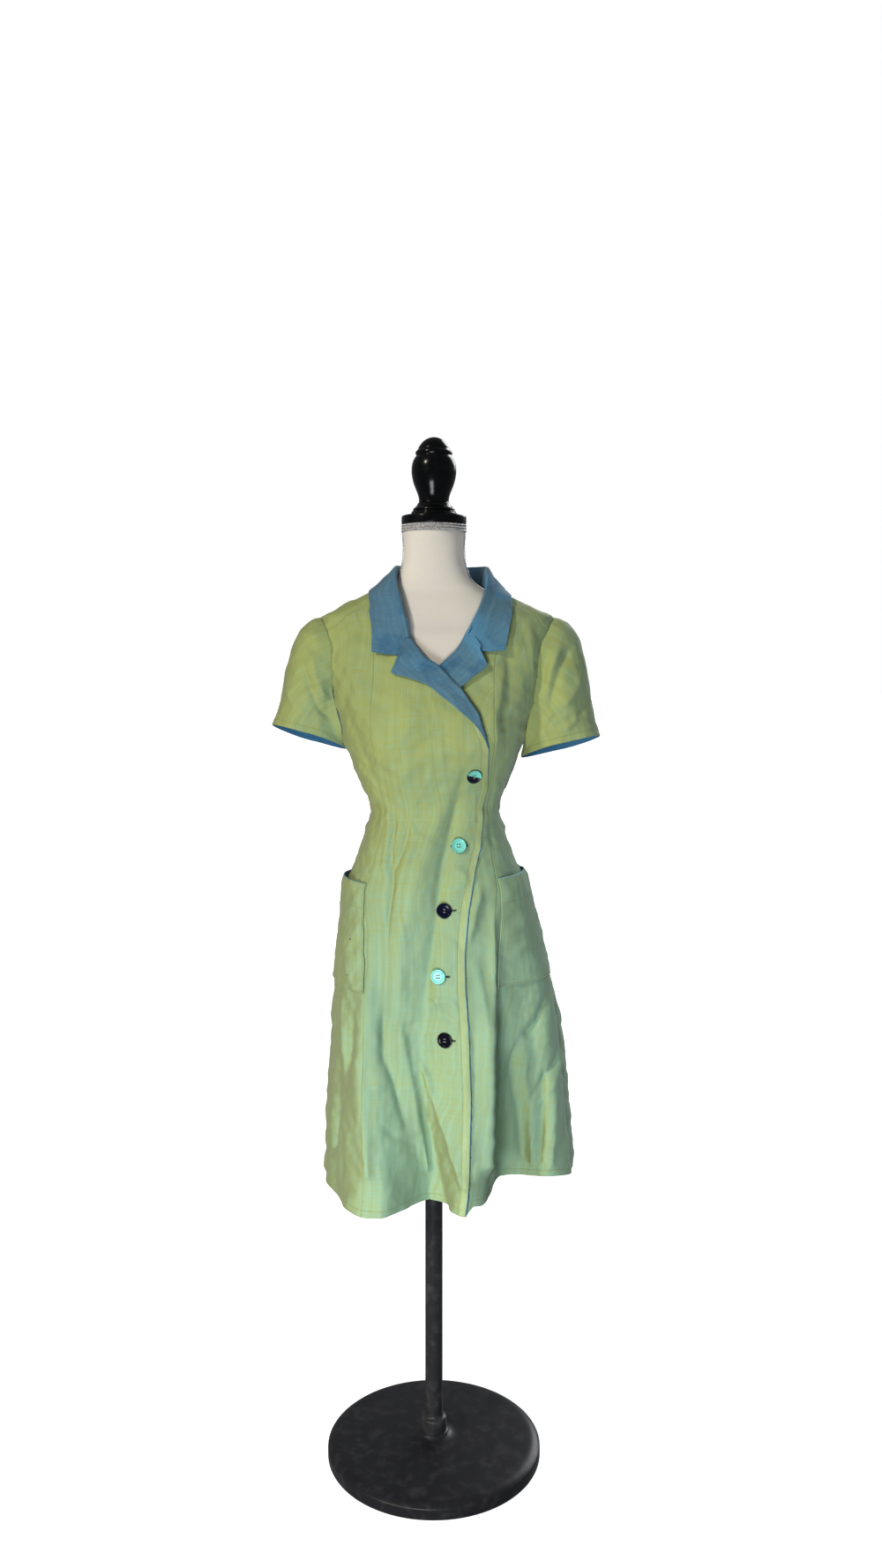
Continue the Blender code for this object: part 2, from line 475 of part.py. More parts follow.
# Set-in sleeves: each thread starts on the armhole and bends down to the hem
def sleeve(name, side, front_arm, over_arm, back_arm, hem, material):
    """A sleeve wall between its armhole and its tilted hem."""
    low = len(LEVELS) - 1
    loop = np.vstack([front_arm[low:], over_arm[1:-1], back_arm[low:][::-1]])[:-1]
    start = shell(loop[:, 0], loop[:, 1])
    skin = outward(loop[:, 0], loop[:, 1])
    x, y, z, half, deep, rise, lean = hem
    centre = np.array([x, y, z])
    middle = (start.max(0) + start.min(0)) / 2
    turn = np.arctan2(start[:, 2] - middle[2], -(start[:, 1] - middle[1]) * 1.45)
    even = np.linspace(0, 2 * np.pi, len(loop), endpoint=False) - np.pi / 2
    turn = np.unwrap(turn)
    turn = turn + (even[0] - turn[0])
    phi = 0.5 * turn + 0.5 * even
    outer_side = np.sin(phi)
    front_side = np.cos(phi)
    flat = np.sign(outer_side) * np.abs(outer_side) ** 0.9
    end = np.stack([x + side * half * flat, y - deep * front_side,
                    z + rise * outer_side + lean * front_side], -1)
    top = np.clip(np.sin(phi), 0, 1)
    away = np.array([side * 1.0, 0, 0])
    leave = away * (0.55 + 0.4 * top)[:, None] + skin * 0.55 + np.array([0, 0, -0.50])
    under = np.clip(-np.sin(phi), 0, 1)[:, None] ** 2
    leave = leave * (1 - under) + np.array([side * 0.15, 0, -1.0]) * under
    leave = leave / np.linalg.norm(leave, axis=1, keepdims=True)
    arrive = np.array([side * 0.40, 0, -0.92])[None] * (1 - under) + np.array([side * 0.05, 0, -1.0]) * under
    arrive = arrive / np.linalg.norm(arrive, axis=1, keepdims=True)
    reach = np.linalg.norm(end - start, axis=1, keepdims=True)
    v = np.array([0, 0.09, 0.2, 0.36, 0.56, 0.78, 1.0])[:, None, None]
    one = start + leave * reach * 0.36
    two = end - arrive * reach * 0.36
    outer = (start * (1 - v) ** 3 + 3 * one * v * (1 - v) ** 2 + 3 * two * v * v * (1 - v) + end * v ** 3)
    outer[0] += skin * (0.0005 * under + 0.0007 * np.clip(-front_side, 0, 1)[:, None])
    outer[1:] = stand_off(outer[1:], 0.0010, under[None] > 0.01)
    around = np.roll(outer, -1, 1) - np.roll(outer, 1, 1)
    down = np.gradient(outer, axis=0)
    normal = np.cross(around, down)
    normal = normal / np.linalg.norm(normal, axis=-1, keepdims=True)
    guess = outer - outer.mean(1, keepdims=True)
    if (normal * guess).sum() < 0:
        normal = -normal
    inner = outer - normal * CLOTH
    for points in (outer, inner):
        step = points[1] - points[0]
        points[0] += 4.0 * HALF_SEAM * step / np.linalg.norm(step, axis=-1, keepdims=True)
    wall(name, outer, inner, material, ring=True)


sleeve("sleeve_right", -1, front_arm_right, over_right, back_arm_right,
       SLEEVE_HEMS["right"], paint("linen_sleeve_right", (0.21, 0.32, 0.14), 0.9))
sleeve("sleeve_left", 1, front_arm_left, over_left, back_arm_left,
       SLEEVE_HEMS["left"], paint("linen_sleeve_left", (0.19, 0.28, 0.13), 0.9))


# Collar: stand up from the neck seam, over the roll and down to the outer edge
def collar(material):
    """A folded band of cloth round the neck."""
    stations = np.linspace(0, len(COLLAR) - 1, 34)
    rows = np.arange(len(COLLAR))
    col = [smooth_line(stations, rows, COLLAR[:, k]) for k in range(8)]
    neck = shell(col[0], col[1]) + outward(col[0], col[1]) * 0.0016
    roll = np.stack(col[2:5], -1)
    edge_on = shell(col[5], col[6])
    edge = edge_on + outward(col[5], col[6]) * 0.0034
    flat = col[7][:, None]
    rise = roll - neck
    rise_unit = rise / np.linalg.norm(rise, axis=1, keepdims=True)
    across = edge - roll
    across = across - rise_unit * (across * rise_unit).sum(1, keepdims=True)
    across = across / np.linalg.norm(across, axis=1, keepdims=True)
    ends = np.minimum(stations, len(COLLAR) - 1 - stations)
    gorge = np.clip(1 - ends / 2.2, 0, 1)
    profile = [neck, neck + rise * 0.5, roll, roll + across * 0.0024 + rise_unit * 0.0014,
               roll + across * 0.0048]
    for share in (0.2, 0.42, 0.64, 0.84):
        straight = profile[4] + (edge - profile[4]) * share
        angle = col[0] + (col[5] - col[0]) * (share * 0.92 + 0.08)
        height = col[1] + (col[6] - col[1]) * (share * 0.92 + 0.08)
        height = height - gorge * NOTCH_DROP[len(profile) - 5]
        lying = shell(angle, height) + outward(angle, height) * (0.0034 + 0.0035 * (1 - share) ** 2)
        profile.append(straight * (1 - flat) + lying * flat)
    profile.append(edge)
    middle = np.stack(profile, 1)
    along = np.gradient(middle, axis=0)
    across_all = np.gradient(middle, axis=1)
    normal = np.cross(across_all, along)
    normal = normal / np.linalg.norm(normal, axis=-1, keepdims=True)
    if normal[len(middle) // 2, -1] @ np.array([0, 1.0, 0.6]) < 0:
        normal = -normal
    wall("collar", middle + normal * CLOTH / 2, middle - normal * CLOTH / 2, material)


collar(paint("blue_collar", (0.10, 0.22, 0.29), 0.92))


# Lapels: folded out along the roll line, resting on the front below them
def lapel(name, table, base, material):
    """A lapel wall over a front panel, base is the height of that panel's face."""
    rows = np.linspace(0, len(table) - 1, 17)
    index = np.arange(len(table))
    col = [smooth_line(rows, index, table[:, k]) for k in range(4)]
    u = np.linspace(0, 1, 5)[None, :]
    angle = col[0][:, None] * (1 - u) + col[2][:, None] * u
    height = col[1][:, None] * (1 - u) + col[3][:, None] * u
    normal = outward(angle, height)
    lift = base(angle, height) + LAPEL_AIR + CLOTH + 0.0010 * u * (1 - rows[:, None] / rows.max())
    outer = shell(angle, height) + normal * lift[..., None]
    wall(name, outer, outer - normal * CLOTH, material)


def face_left(angle, height):
    """Height of the under front's face above the body."""
    return np.zeros(np.shape(angle))


lapel("lapel_right", LAPEL_RIGHT, face_right, paint("blue_lapel_right", (0.12, 0.26, 0.36), 0.92))
lapel("lapel_left", LAPEL_LEFT, face_left, paint("blue_lapel_left", (0.11, 0.24, 0.32), 0.92))


# Patch pockets from the princess seam round the side seam, a little open at the top
def pocket(name, side, table, material):
    """A pocket wall moved out from the points of the panels below it."""
    front_top, front_low, back, high, low = table
    v = np.array([0, 0.25, 0.5, 0.72, 0.88, 1.0])[:, None]
    u = np.linspace(0, 1, 15)[None, :] ** 1.2
    front = front_low + (front_top - front_low) * v
    angle = front * (1 - u) + back * u
    height = low + (high - low) * v + 0 * u
    normal = outward(angle, height)
    mouth = ramp(v, 0.7, 1.0) * np.sin(np.pi * np.clip(u * 1.02, 0, 1))
    outer = shell(angle, height) + normal * (CLOTH + EASE + 0.0014 * (1 - u) ** 2 * (1 - v) + 0.0020 * mouth)[..., None]
    wall(name, outer, outer - normal * CLOTH, material)


pocket("pocket_right", -1, POCKETS["right"], paint("linen_pocket_right", (0.20, 0.31, 0.15), 0.9))
pocket("pocket_left", 1, POCKETS["left"], paint("linen_pocket_left", (0.20, 0.32, 0.16), 0.9))


# Buttons: dished discs with four holes, lying on the over front
def button(name, place, material):
    """A dished disc with a rim and four holes."""
    angle, height = np.array(place[0]), np.array(place[1])
    normal = outward(angle, height)
    lift = float(face_right(angle, height)) + 0.0008
    centre = shell(angle, height) + normal * lift
    r = BUTTON_RADIUS
    profile = [(r * 0.80, 0.0), (r, 0.0018), (r * 0.93, 0.0034), (r * 0.70, 0.0026)]
    item = turned(name, profile, material, 16)
    cutters = []
    for dx in (-0.0021, 0.0021):
        for dy in (-0.0021, 0.0021):
            bpy.ops.mesh.primitive_cylinder_add(vertices=6, radius=0.0009, depth=0.01,
                                                location=(dx, dy, 0.002))
            cutters.append(bpy.context.object)
    for cutter in cutters:
        cutter.hide_render = True
        cutter.display_type = "WIRE"
        hole = item.modifiers.new("hole", "BOOLEAN")
        hole.operation = "DIFFERENCE"
        hole.solver = "EXACT"
        hole.object = cutter
    graph = bpy.context.evaluated_depsgraph_get()
    cut = bpy.data.meshes.new_from_object(item.evaluated_get(graph))
    item.modifiers.clear()
    item.data = cut
    for cutter in cutters:
        bpy.data.objects.remove(cutter, do_unlink=True)
    up = np.array([0, 0, 1.0])
    side = np.cross(up, normal)
    side = side / np.linalg.norm(side)
    top = np.cross(normal, side)
    points = np.empty(len(cut.vertices) * 3)
    cut.vertices.foreach_get("co", points)
    points = points.reshape(-1, 3)
    points = centre + points[:, :1] * side + points[:, 1:2] * top + points[:, 2:] * normal
    cut.vertices.foreach_set("co", points.ravel())
    cut.update()


for number, place in enumerate(BUTTONS, 1):
    light = number in (2, 4)
    colour = (0.12, 0.50, 0.42) if light else (0.012, 0.02, 0.045)
    button(f"button_{number}", place, paint(f"button_surface_{number}", colour, 0.25))


# Dress form: torso and neck inside the dress, flat below the hips
def form(material):
    """A limbless torso that keeps inside the cloth and carries the shoulders."""
    heights = np.array([1.458, 1.436, 1.418, 1.406, 1.397, 1.388, 1.378, 1.366, 1.354, 1.342, 1.325, 1.300,
                        1.262, 1.220, 1.180, 1.145, 1.100, 1.065, 1.035, 1.005, 0.970, 0.925, 0.880,
                        0.840, FORM_BOTTOM])
    side = np.array([0, 9, 18, 27, 36, 45, 54, 62, 70, 77, 84])
    angle = np.concatenate([side, 180 - side[::-1][:-1], 180 + side, 360 - side[::-1][:-1]]) - 180.0
    angle = np.unique(np.round(angle, 3))[:-1] if abs(angle.max() - 180) < 1e-6 else np.unique(angle)
    grid_a, grid_h = np.meshgrid(angle, heights)
    normal = outward(grid_a, grid_h, 0.0)
    ease_rows = np.array([(0.800, 0.030), (0.845, 0.022), (0.890, 0.018), (0.950, 0.012), (1.035, 0.008),
                          (1.120, 0.007), (1.225, 0.006), (1.290, 0.004), (1.325, 0.0036), (1.346, 0.0028), (1.358, 0.0016),
                          (1.390, 0.0016), (1.420, 0.0006), (1.475, 0.0002)])
    ease = np.interp(grid_h, ease_rows[:, 0], ease_rows[:, 1])
    ease = ease + 0.0022 * ramp(grid_h, 1.315, 1.335) * (1 - ramp(grid_h, 1.384, 1.396)) * (np.abs(grid_a) < 77)
    points = shell(grid_a, grid_h, 0.0) - normal * (CLOTH + ease)[..., None]
    points[..., 0] -= (np.interp(grid_h, RINGS[:, 0], RINGS[:, 1])) * (grid_h < 1.06)
    a = np.radians(angle)
    for z in (1.472, NECK_TOP):
        ring = np.stack([NECK_RADIUS * np.sin(a), -NECK_RADIUS * np.cos(a), np.full(len(a), z)], -1)
        points = np.concatenate([ring[None], points], 0)
    points = np.concatenate([points[:2][::-1], points[2:]], 0) if points[0, 0, 2] < points[1, 0, 2] else points
    low = points[-1] * (0.93, 0.93, 1) - (0, 0, 0.008)
    points = np.concatenate([points, low[None]], 0)
    rows, columns = points.shape[:2]
    index = np.arange(rows * columns).reshape(rows, columns)
    index = np.concatenate([index, index[:, :1]], 1)
    faces = [(index[i, j], index[i + 1, j], index[i + 1, j + 1], index[i, j + 1])
             for i in range(rows - 1) for j in range(columns)]
    faces.append(tuple(index[0, :-1]))
    faces.append(tuple(index[-1, :-1])[::-1])
    link("form", points.reshape(-1, 3), faces, material)
    return points[-1, 0, 2]


underside = form(paint("ivory_jersey", (0.72, 0.68, 0.62), 0.95))

# Beaded braid round the top of the neck
turned_band = [(NECK_RADIUS + 0.0005, 1.4790), (NECK_RADIUS + 0.0030, 1.4815), (NECK_RADIUS + 0.0022, 1.4850),
               (NECK_RADIUS + 0.0030, 1.4885), (NECK_RADIUS + 0.0005, 1.4912)]


def band(name, profile, material, segments=32):
    """A turned ring, closed round its own section."""
    a = np.linspace(0, 2 * np.pi, segments, endpoint=False)
    count = len(profile)
    vertices = [(r * np.cos(t), r * np.sin(t), z) for r, z in profile for t in a]
    faces = []
    for k in range(count):
        for i in range(segments):
            j = (i + 1) % segments
            n = (k + 1) % count
            faces.append((k * segments + i, k * segments + j, n * segments + j, n * segments + i))
    link(name, vertices, faces, material)


band("neck_braid", turned_band, paint("silver_braid", (0.60, 0.58, 0.56), 0.45, 0.3))

# Turned wooden cap and knob
turned("neck_cap", CAP, paint("black_wood_cap", (0.008, 0.009, 0.011), 0.18), 26)
knob = [(r, z) for r, z in KNOB]
turned("finial", knob, paint("black_wood_knob", (0.008, 0.009, 0.011), 0.15), 24)

# Plain pole and round base
turned("pole", [(POLE_RADIUS, BASE_THICKNESS + 0.0103), (POLE_RADIUS, float(underside) - 0.0003)],
       paint("black_metal_pole", (0.02, 0.02, 0.022), 0.35, 0.6), 24)
turned("base", [(BASE_RADIUS - 0.004, 0.0), (BASE_RADIUS, 0.004), (BASE_RADIUS, 0.016),
                (BASE_RADIUS - 0.012, BASE_THICKNESS - 0.002), (0.032, BASE_THICKNESS + 0.004),
                (0.022, BASE_THICKNESS + 0.010)],
       paint("black_base", (0.012, 0.012, 0.014), 0.28), 32)
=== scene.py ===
import bpy
import numpy as np
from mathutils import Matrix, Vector


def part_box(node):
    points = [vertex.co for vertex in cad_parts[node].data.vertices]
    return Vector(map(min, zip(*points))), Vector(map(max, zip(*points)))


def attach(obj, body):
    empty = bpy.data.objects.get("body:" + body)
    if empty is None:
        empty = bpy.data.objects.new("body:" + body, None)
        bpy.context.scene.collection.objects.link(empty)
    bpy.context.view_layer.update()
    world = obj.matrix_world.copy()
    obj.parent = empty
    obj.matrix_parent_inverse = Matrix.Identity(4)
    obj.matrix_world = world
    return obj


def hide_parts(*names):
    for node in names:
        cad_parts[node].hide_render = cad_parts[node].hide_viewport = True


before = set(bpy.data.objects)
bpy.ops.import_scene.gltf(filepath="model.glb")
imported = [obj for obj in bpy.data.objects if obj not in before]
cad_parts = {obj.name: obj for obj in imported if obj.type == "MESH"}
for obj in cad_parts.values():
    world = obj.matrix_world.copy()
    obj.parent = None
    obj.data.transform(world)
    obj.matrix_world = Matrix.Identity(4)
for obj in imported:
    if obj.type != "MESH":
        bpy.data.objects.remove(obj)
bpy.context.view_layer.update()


# Stand
# A steel pole screwed into a heavy round foot, both lacquered black.
# The pole carries the torso under its flat lower end.

class Wire:
    """One socket of a material. Sums written with it add their Math nodes, 1 - mask too."""

    def __init__(self, finish, socket):
        self.finish, self.socket = finish, socket

    def sum(self, operation, *others):
        return self.finish.node("ShaderNodeMath", dict(enumerate(others)), operation=operation)

    def __add__(self, other):
        return self.sum("ADD", self, other)

    __radd__ = __add__

    def __sub__(self, other):
        return self.sum("SUBTRACT", self, other)

    def __rsub__(self, other):
        return self.sum("SUBTRACT", other, self)

    def __mul__(self, other):
        return self.sum("MULTIPLY", self, other)

    __rmul__ = __mul__

    def __abs__(self):
        return self.sum("ABSOLUTE", self)

    def __pow__(self, other):
        return self.sum("POWER", self, other)

    def held(self, low=0.0, high=1.0):
        """The value kept between two limits."""
        return self.sum("MINIMUM", self.sum("MAXIMUM", self, low), high)

    def step(self, low, high):
        """A soft step from 0 to 1 as the value goes from low to high."""
        return self.finish.node("ShaderNodeMapRange", {0: self, 1: low, 2: high, 3: 0.0, 4: 1.0},
                                interpolation_type="SMOOTHSTEP")


class Finish:
    """A material with one Principled shader; node() adds any other node to it."""

    def __init__(self, name, colour, roughness, **sockets):
        self.material = bpy.data.materials.new(name)
        self.material.use_nodes = True
        self.tree = self.material.node_tree
        self.shader = self.tree.nodes["Principled BSDF"]
        self.shader.inputs["Base Color"].default_value = (*colour, 1.0)
        self.shader.inputs["Roughness"].default_value = roughness
        for socket, value in sockets.items():
            self.shader.inputs[socket.replace("_", " ")].default_value = value

    def set(self, socket, value):
        """Feeds one socket, named or given, from a wire or a plain value."""
        socket = self.shader.inputs[socket] if isinstance(socket, str) else socket
        if isinstance(value, Wire):
            self.tree.links.new(value.socket, socket)
        elif hasattr(value, "__len__") and len(value) == 3 and socket.type == "RGBA":
            socket.default_value = (*value, 1.0)
        else:
            socket.default_value = value

    def node(self, kind, values=None, out=0, **settings):
        """Adds a node: its settings first, then its sockets."""
        made = self.tree.nodes.new(kind)
        for key, value in settings.items():
            setattr(made, key, value)
        for key, value in (values or {}).items():
            self.set(made.inputs[key], value)
        return Wire(self, made.outputs[out])

    def mix(self, share, first, second):
        """A colour part of the way from the first to the second."""
        return self.node("ShaderNodeMix", {0: share, 6: first, 7: second}, out=2, data_type="RGBA")

    def spot(self, x, y, z=0.0):
        """A vector from three values."""
        return self.node("ShaderNodeCombineXYZ", {0: x, 1: y, 2: z})

    def split(self, vector):
        """The three values of a vector."""
        made = self.node("ShaderNodeSeparateXYZ", {0: vector}).socket.node
        return [Wire(self, output) for output in made.outputs]

    def place(self):
        """The point on the piece in metres."""
        return self.node("ShaderNodeTexCoord", out=3)

    def cloud(self, vector, scale=1.0, detail=2.0, rough=0.5):
        """Soft noise from 0 to 1."""
        return self.node("ShaderNodeTexNoise", {"Vector": vector, "Scale": scale, "Detail": detail,
                                                "Roughness": rough})

    def relief(self, height, strength, distance):
        """Raises the surface by a height map."""
        self.set("Normal", self.node("ShaderNodeBump", {"Strength": strength, "Distance": distance,
                                                        "Height": height}))


def smooth_line(x, xs, ys):
    """Cubic through the rows of a table, its slopes the harmonic mean of the two beside each row."""
    x, xs, ys = np.asarray(x, float), np.asarray(xs, float), np.asarray(ys, float)
    step = np.diff(xs)
    slope = np.diff(ys) / step
    tangent = np.concatenate([slope[:1], np.zeros(len(xs) - 2), slope[-1:]])
    same = slope[:-1] * slope[1:] > 0
    total = np.where(same, slope[:-1] + slope[1:], 1.0)
    tangent[1:-1] = np.where(same, 2 * slope[:-1] * slope[1:] / total, 0.0)
    i = np.clip(np.searchsorted(xs, x) - 1, 0, len(xs) - 2)
    s = np.clip((x - xs[i]) / step[i], 0, 1)
    rise = (3 * s**2 - 2 * s**3) * (ys[i + 1] - ys[i])
    bend = (s**3 - 2 * s**2 + s) * tangent[i] + (s**3 - s**2) * tangent[i + 1]
    return ys[i] + rise + bend * step[i]


def piece(name, points, faces, finishes, which=None, maps=None):
    """A smooth-shaded mesh on the root body from arrays of points, faces, finish numbers and UVs."""
    mesh = bpy.data.meshes.new(name)
    mesh.from_pydata(points.tolist(), [], faces if isinstance(faces, list) else faces.tolist())
    for finish in finishes:
        mesh.materials.append(finish.material)
    if which is not None:
        mesh.polygons.foreach_set("material_index", np.asarray(which, np.int32))
    corner = np.empty(len(mesh.loops), np.int32)
    mesh.loops.foreach_get("vertex_index", corner)
    for label, values in (maps or {}).items():
        mesh.uv_layers.new(name=label).data.foreach_set("uv", values[corner].ravel())
    mesh.polygons.foreach_set("use_smooth", np.ones(len(mesh.polygons), bool))
    mesh.validate()
    item = bpy.data.objects.new(name, mesh)
    bpy.context.scene.collection.objects.link(item)
    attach(item, "root")
    return item


def quads(index):
    """Four-cornered faces between the neighbours of a grid of point numbers."""
    return np.stack([index[:-1, :-1], index[:-1, 1:], index[1:, 1:], index[1:, :-1]], -1).reshape(-1, 4)


def shut(index):
    """A grid of point numbers closed to a ring: its first column comes again after the last."""
    return np.c_[index, index[:, :1]]


def turned(name, profile, finish, around=96, steps=6):
    """A turned piece: each row of radius and height carried round the z axis, ends closed to the axis."""
    profile = np.array(profile, float)
    row = np.arange(len(profile))
    fine = np.linspace(0, row[-1], row[-1] * steps + 1)
    radius, height = (smooth_line(fine, row, profile[:, k]) for k in (0, 1))
    a = np.linspace(0, 2 * np.pi, around, endpoint=False)
    points = np.stack([radius[:, None] * np.cos(a), radius[:, None] * np.sin(a),
                       height[:, None] + 0 * a], -1)
    index = shut(np.arange(len(fine) * around).reshape(len(fine), around))
    low, high = len(fine) * around, len(fine) * around + 1
    faces = quads(index).tolist()
    faces += np.stack([index[0, 1:], index[0, :-1], np.full(around, low)], -1).tolist()
    faces += np.stack([index[-1, :-1], index[-1, 1:], np.full(around, high)], -1).tolist()
    ends = [(0, 0, height[0]), (0, 0, height[-1])]
    return piece(name, np.vstack([points.reshape(-1, 3), ends]), faces, [finish])


def lacquer(name, colour, roughness):
    """Black paint with faint brush rings and dust."""
    finish = Finish(name, colour, roughness, Specular_IOR_Level=0.16)
    place = finish.place()
    wear = finish.cloud(place, 60.0, 4.0)
    finish.set("Roughness", roughness + 0.10 * wear)
    dusty = tuple(c * 1.9 + 0.002 for c in colour)
    finish.set("Base Color", finish.mix(wear.step(0.45, 0.75), colour, dusty))
    x, y, z = finish.split(place)
    rings = finish.cloud(finish.spot(x * 3, y * 3, z * 420), 1.0, 2.0)
    finish.relief(rings * 0.6 + wear * 0.4, 0.10, 0.0003)
    return finish


POLE_RADIUS, FOOT_RADIUS, TORSO_FOOT = 0.014, 0.170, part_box("form")[0][2]
foot = turned("round_foot", [(FOOT_RADIUS - 0.020, 0.0), (FOOT_RADIUS - 0.004, 0.0), (FOOT_RADIUS, 0.004),
                             (FOOT_RADIUS, 0.016), (FOOT_RADIUS - 0.003, 0.0200),
                             (FOOT_RADIUS - 0.012, 0.0240), (0.120, 0.0265), (0.075, 0.0288), (0.036, 0.0302),
                             (0.0250, 0.0330), (0.0220, 0.0362)],
              lacquer("black_foot", (0.012, 0.012, 0.014), 0.30), steps=5)
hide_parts("base")
pole = turned("steel_pole", [(0.0200, 0.0365), (0.0205, 0.0420), (0.0200, 0.0560), (0.0150, 0.0600),
                             (POLE_RADIUS, 0.0640), (POLE_RADIUS, 0.400), (POLE_RADIUS, TORSO_FOOT - 0.020),
                             (0.0185, TORSO_FOOT - 0.016), (0.0185, TORSO_FOOT - 0.0004)],
              lacquer("black_pole", (0.02, 0.02, 0.022), 0.28), around=48, steps=4)
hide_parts("pole")


# Torso
# A limbless torso of stiff foam under ivory cotton jersey, neck included.
# It carries the dress on its shoulders and stops flat below the hips.

SQUARE, HIP_HEIGHT, HEM_HEIGHT = 0.03, 0.930, 0.450
RINGS = np.array([
    # height, centre x, half width, front reach, back reach
    (0.450, 0.0243, 0.1973, 0.150, 0.165), (0.489, 0.0256, 0.1946, 0.147, 0.162),
    (0.560, 0.0228, 0.1918, 0.142, 0.157), (0.631, 0.0220, 0.1868, 0.137, 0.152),
    (0.688, 0.0206, 0.1825, 0.132, 0.147), (0.731, 0.0170, 0.1785, 0.129, 0.143),
    (0.773, 0.0135, 0.1715, 0.126, 0.138), (0.845, 0.0085, 0.1595, 0.120, 0.130),
    (0.873, 0.0070, 0.1545, 0.117, 0.127), (0.915, 0.0045, 0.1450, 0.112, 0.120),
    (0.944, 0.0030, 0.1320, 0.106, 0.110), (0.972, 0.0020, 0.1215, 0.099, 0.098),
    (1.001, 0.0020, 0.1115, 0.092, 0.088), (1.025, 0.0022, 0.1055, 0.089, 0.083),
    (1.043, 0.0014, 0.1050, 0.090, 0.082), (1.072, 0.0004, 0.1150, 0.099, 0.086),
    (1.100, 0.0006, 0.1270, 0.110, 0.092), (1.114, 0.0008, 0.1322, 0.115, 0.094),
    (1.143, 0.0000, 0.1440, 0.122, 0.099), (1.180, 0.0000, 0.1560, 0.125, 0.104),
    (1.216, 0.0000, 0.1670, 0.118, 0.107), (1.258, 0.0000, 0.1770, 0.105, 0.108),
    (1.293, 0.0020, 0.1835, 0.091, 0.105), (1.320, 0.0040, 0.1880, 0.079, 0.097),
    (1.342, 0.0050, 0.1865, 0.069, 0.088), (1.356, 0.0035, 0.1600, 0.062, 0.080),
    (1.370, 0.0015, 0.1310, 0.056, 0.072), (1.380, 0.0000, 0.1080, 0.052, 0.067),
    (1.390, 0.0000, 0.0850, 0.049, 0.062), (1.400, 0.0000, 0.0680, 0.047, 0.057),
    (1.412, 0.0000, 0.0590, 0.046, 0.053), (1.430, 0.0000, 0.0525, 0.047, 0.050),
    (1.448, 0.0000, 0.0505, 0.048, 0.049), (1.478, 0.0000, 0.0520, 0.051, 0.051),
    (1.494, 0.0000, 0.0522, 0.052, 0.052),
])
HEM = np.array([
    # folds of the hem seen from above: angle from the front, x, y, height of the edge
    (-180, 0.010, 0.155, 0.450), (-165, -0.030, 0.168, 0.450), (-150, -0.075, 0.172, 0.450),
    (-135, -0.108, 0.138, 0.450), (-120, -0.140, 0.118, 0.450), (-105, -0.163, 0.070, 0.450),
    (-90, -0.173, 0.012, 0.450), (-80, -0.1706, -0.033, 0.450), (-66, -0.150, -0.086, 0.450),
    (-53, -0.130, -0.142, 0.450), (-45, -0.1045, -0.1695, 0.450), (-38, -0.081, -0.1725, 0.450),
    (-28, -0.0503, -0.142, 0.450), (-19, -0.0220, -0.108, 0.450), (-13, -0.0068, -0.099, 0.450),
    (-7, 0.0068, -0.108, 0.450), (-1.5, 0.0213, -0.130, 0.450), (5.5, 0.0369, -0.1546, 0.450),
    (9.7, 0.0472, -0.1636, 0.450), (15, 0.062, -0.158, 0.461), (19, 0.074, -0.146, 0.458),
    (24, 0.084, -0.113, 0.458), (29, 0.093, -0.079, 0.462), (34, 0.105, -0.059, 0.467),
    (45, 0.132, -0.053, 0.467), (65, 0.176, -0.078, 0.474), (80, 0.209, -0.058, 0.468),
    (90, 0.2216, -0.004, 0.455), (108, 0.199, 0.075, 0.450), (124, 0.168, 0.128, 0.450),
    (140, 0.117, 0.142, 0.450), (156, 0.076, 0.175, 0.450), (170, 0.035, 0.162, 0.450),
])


def rings_at(angle, height):
    """x = centre + half (sin a + q sin 3a)/(1 - q), y = -reach (cos a - q cos 3a)/(1 - q), and the bust."""
    a = np.radians(angle)
    centre, half, front, back = (smooth_line(height, RINGS[:, 0], RINGS[:, k]) for k in (1, 2, 3, 4))
    x = centre + half * (np.sin(a) + SQUARE * np.sin(3 * a)) / (1 - SQUARE)
    turn = (np.cos(a) - SQUARE * np.cos(3 * a)) / (1 - SQUARE)
    y = -np.where(turn > 0, front, back) * turn
    for side in (-1, 1):
        bust = np.exp(-((x - side * 0.078) / 0.05) ** 2 - ((height - 1.158) / 0.06) ** 2)
        y = y - 0.007 * bust * (turn > 0)
    return x, y


def shell(angle, height, folds=1.0):
    """The rings, drawn toward the folded hem by the power 1.5 of the way down from the hip."""
    angle, height = np.broadcast_arrays(np.asarray(angle, float), np.asarray(height, float))
    x, y = rings_at(angle, height)
    turn = (angle + 180) % 360 - 180
    wrapped = np.vstack([HEM - (360, 0, 0, 0), HEM, HEM + (360, 0, 0, 0)])
    hem_x, hem_y = rings_at(angle, np.full(height.shape, HEM_HEIGHT))
    share = folds * np.clip((HIP_HEIGHT - height) / (HIP_HEIGHT - HEM_HEIGHT), 0, 1) ** 1.5
    x = x + (smooth_line(turn, wrapped[:, 0], wrapped[:, 1]) - hem_x) * share
    y = y + (smooth_line(turn, wrapped[:, 0], wrapped[:, 2]) - hem_y) * share
    z = height + (smooth_line(turn, wrapped[:, 0], wrapped[:, 3]) - HEM_HEIGHT) * share
    return np.stack([x, y, z], -1)


def unit(vectors):
    """Vectors scaled to length one."""
    return vectors / np.maximum(np.linalg.norm(vectors, axis=-1, keepdims=True), 1e-12)


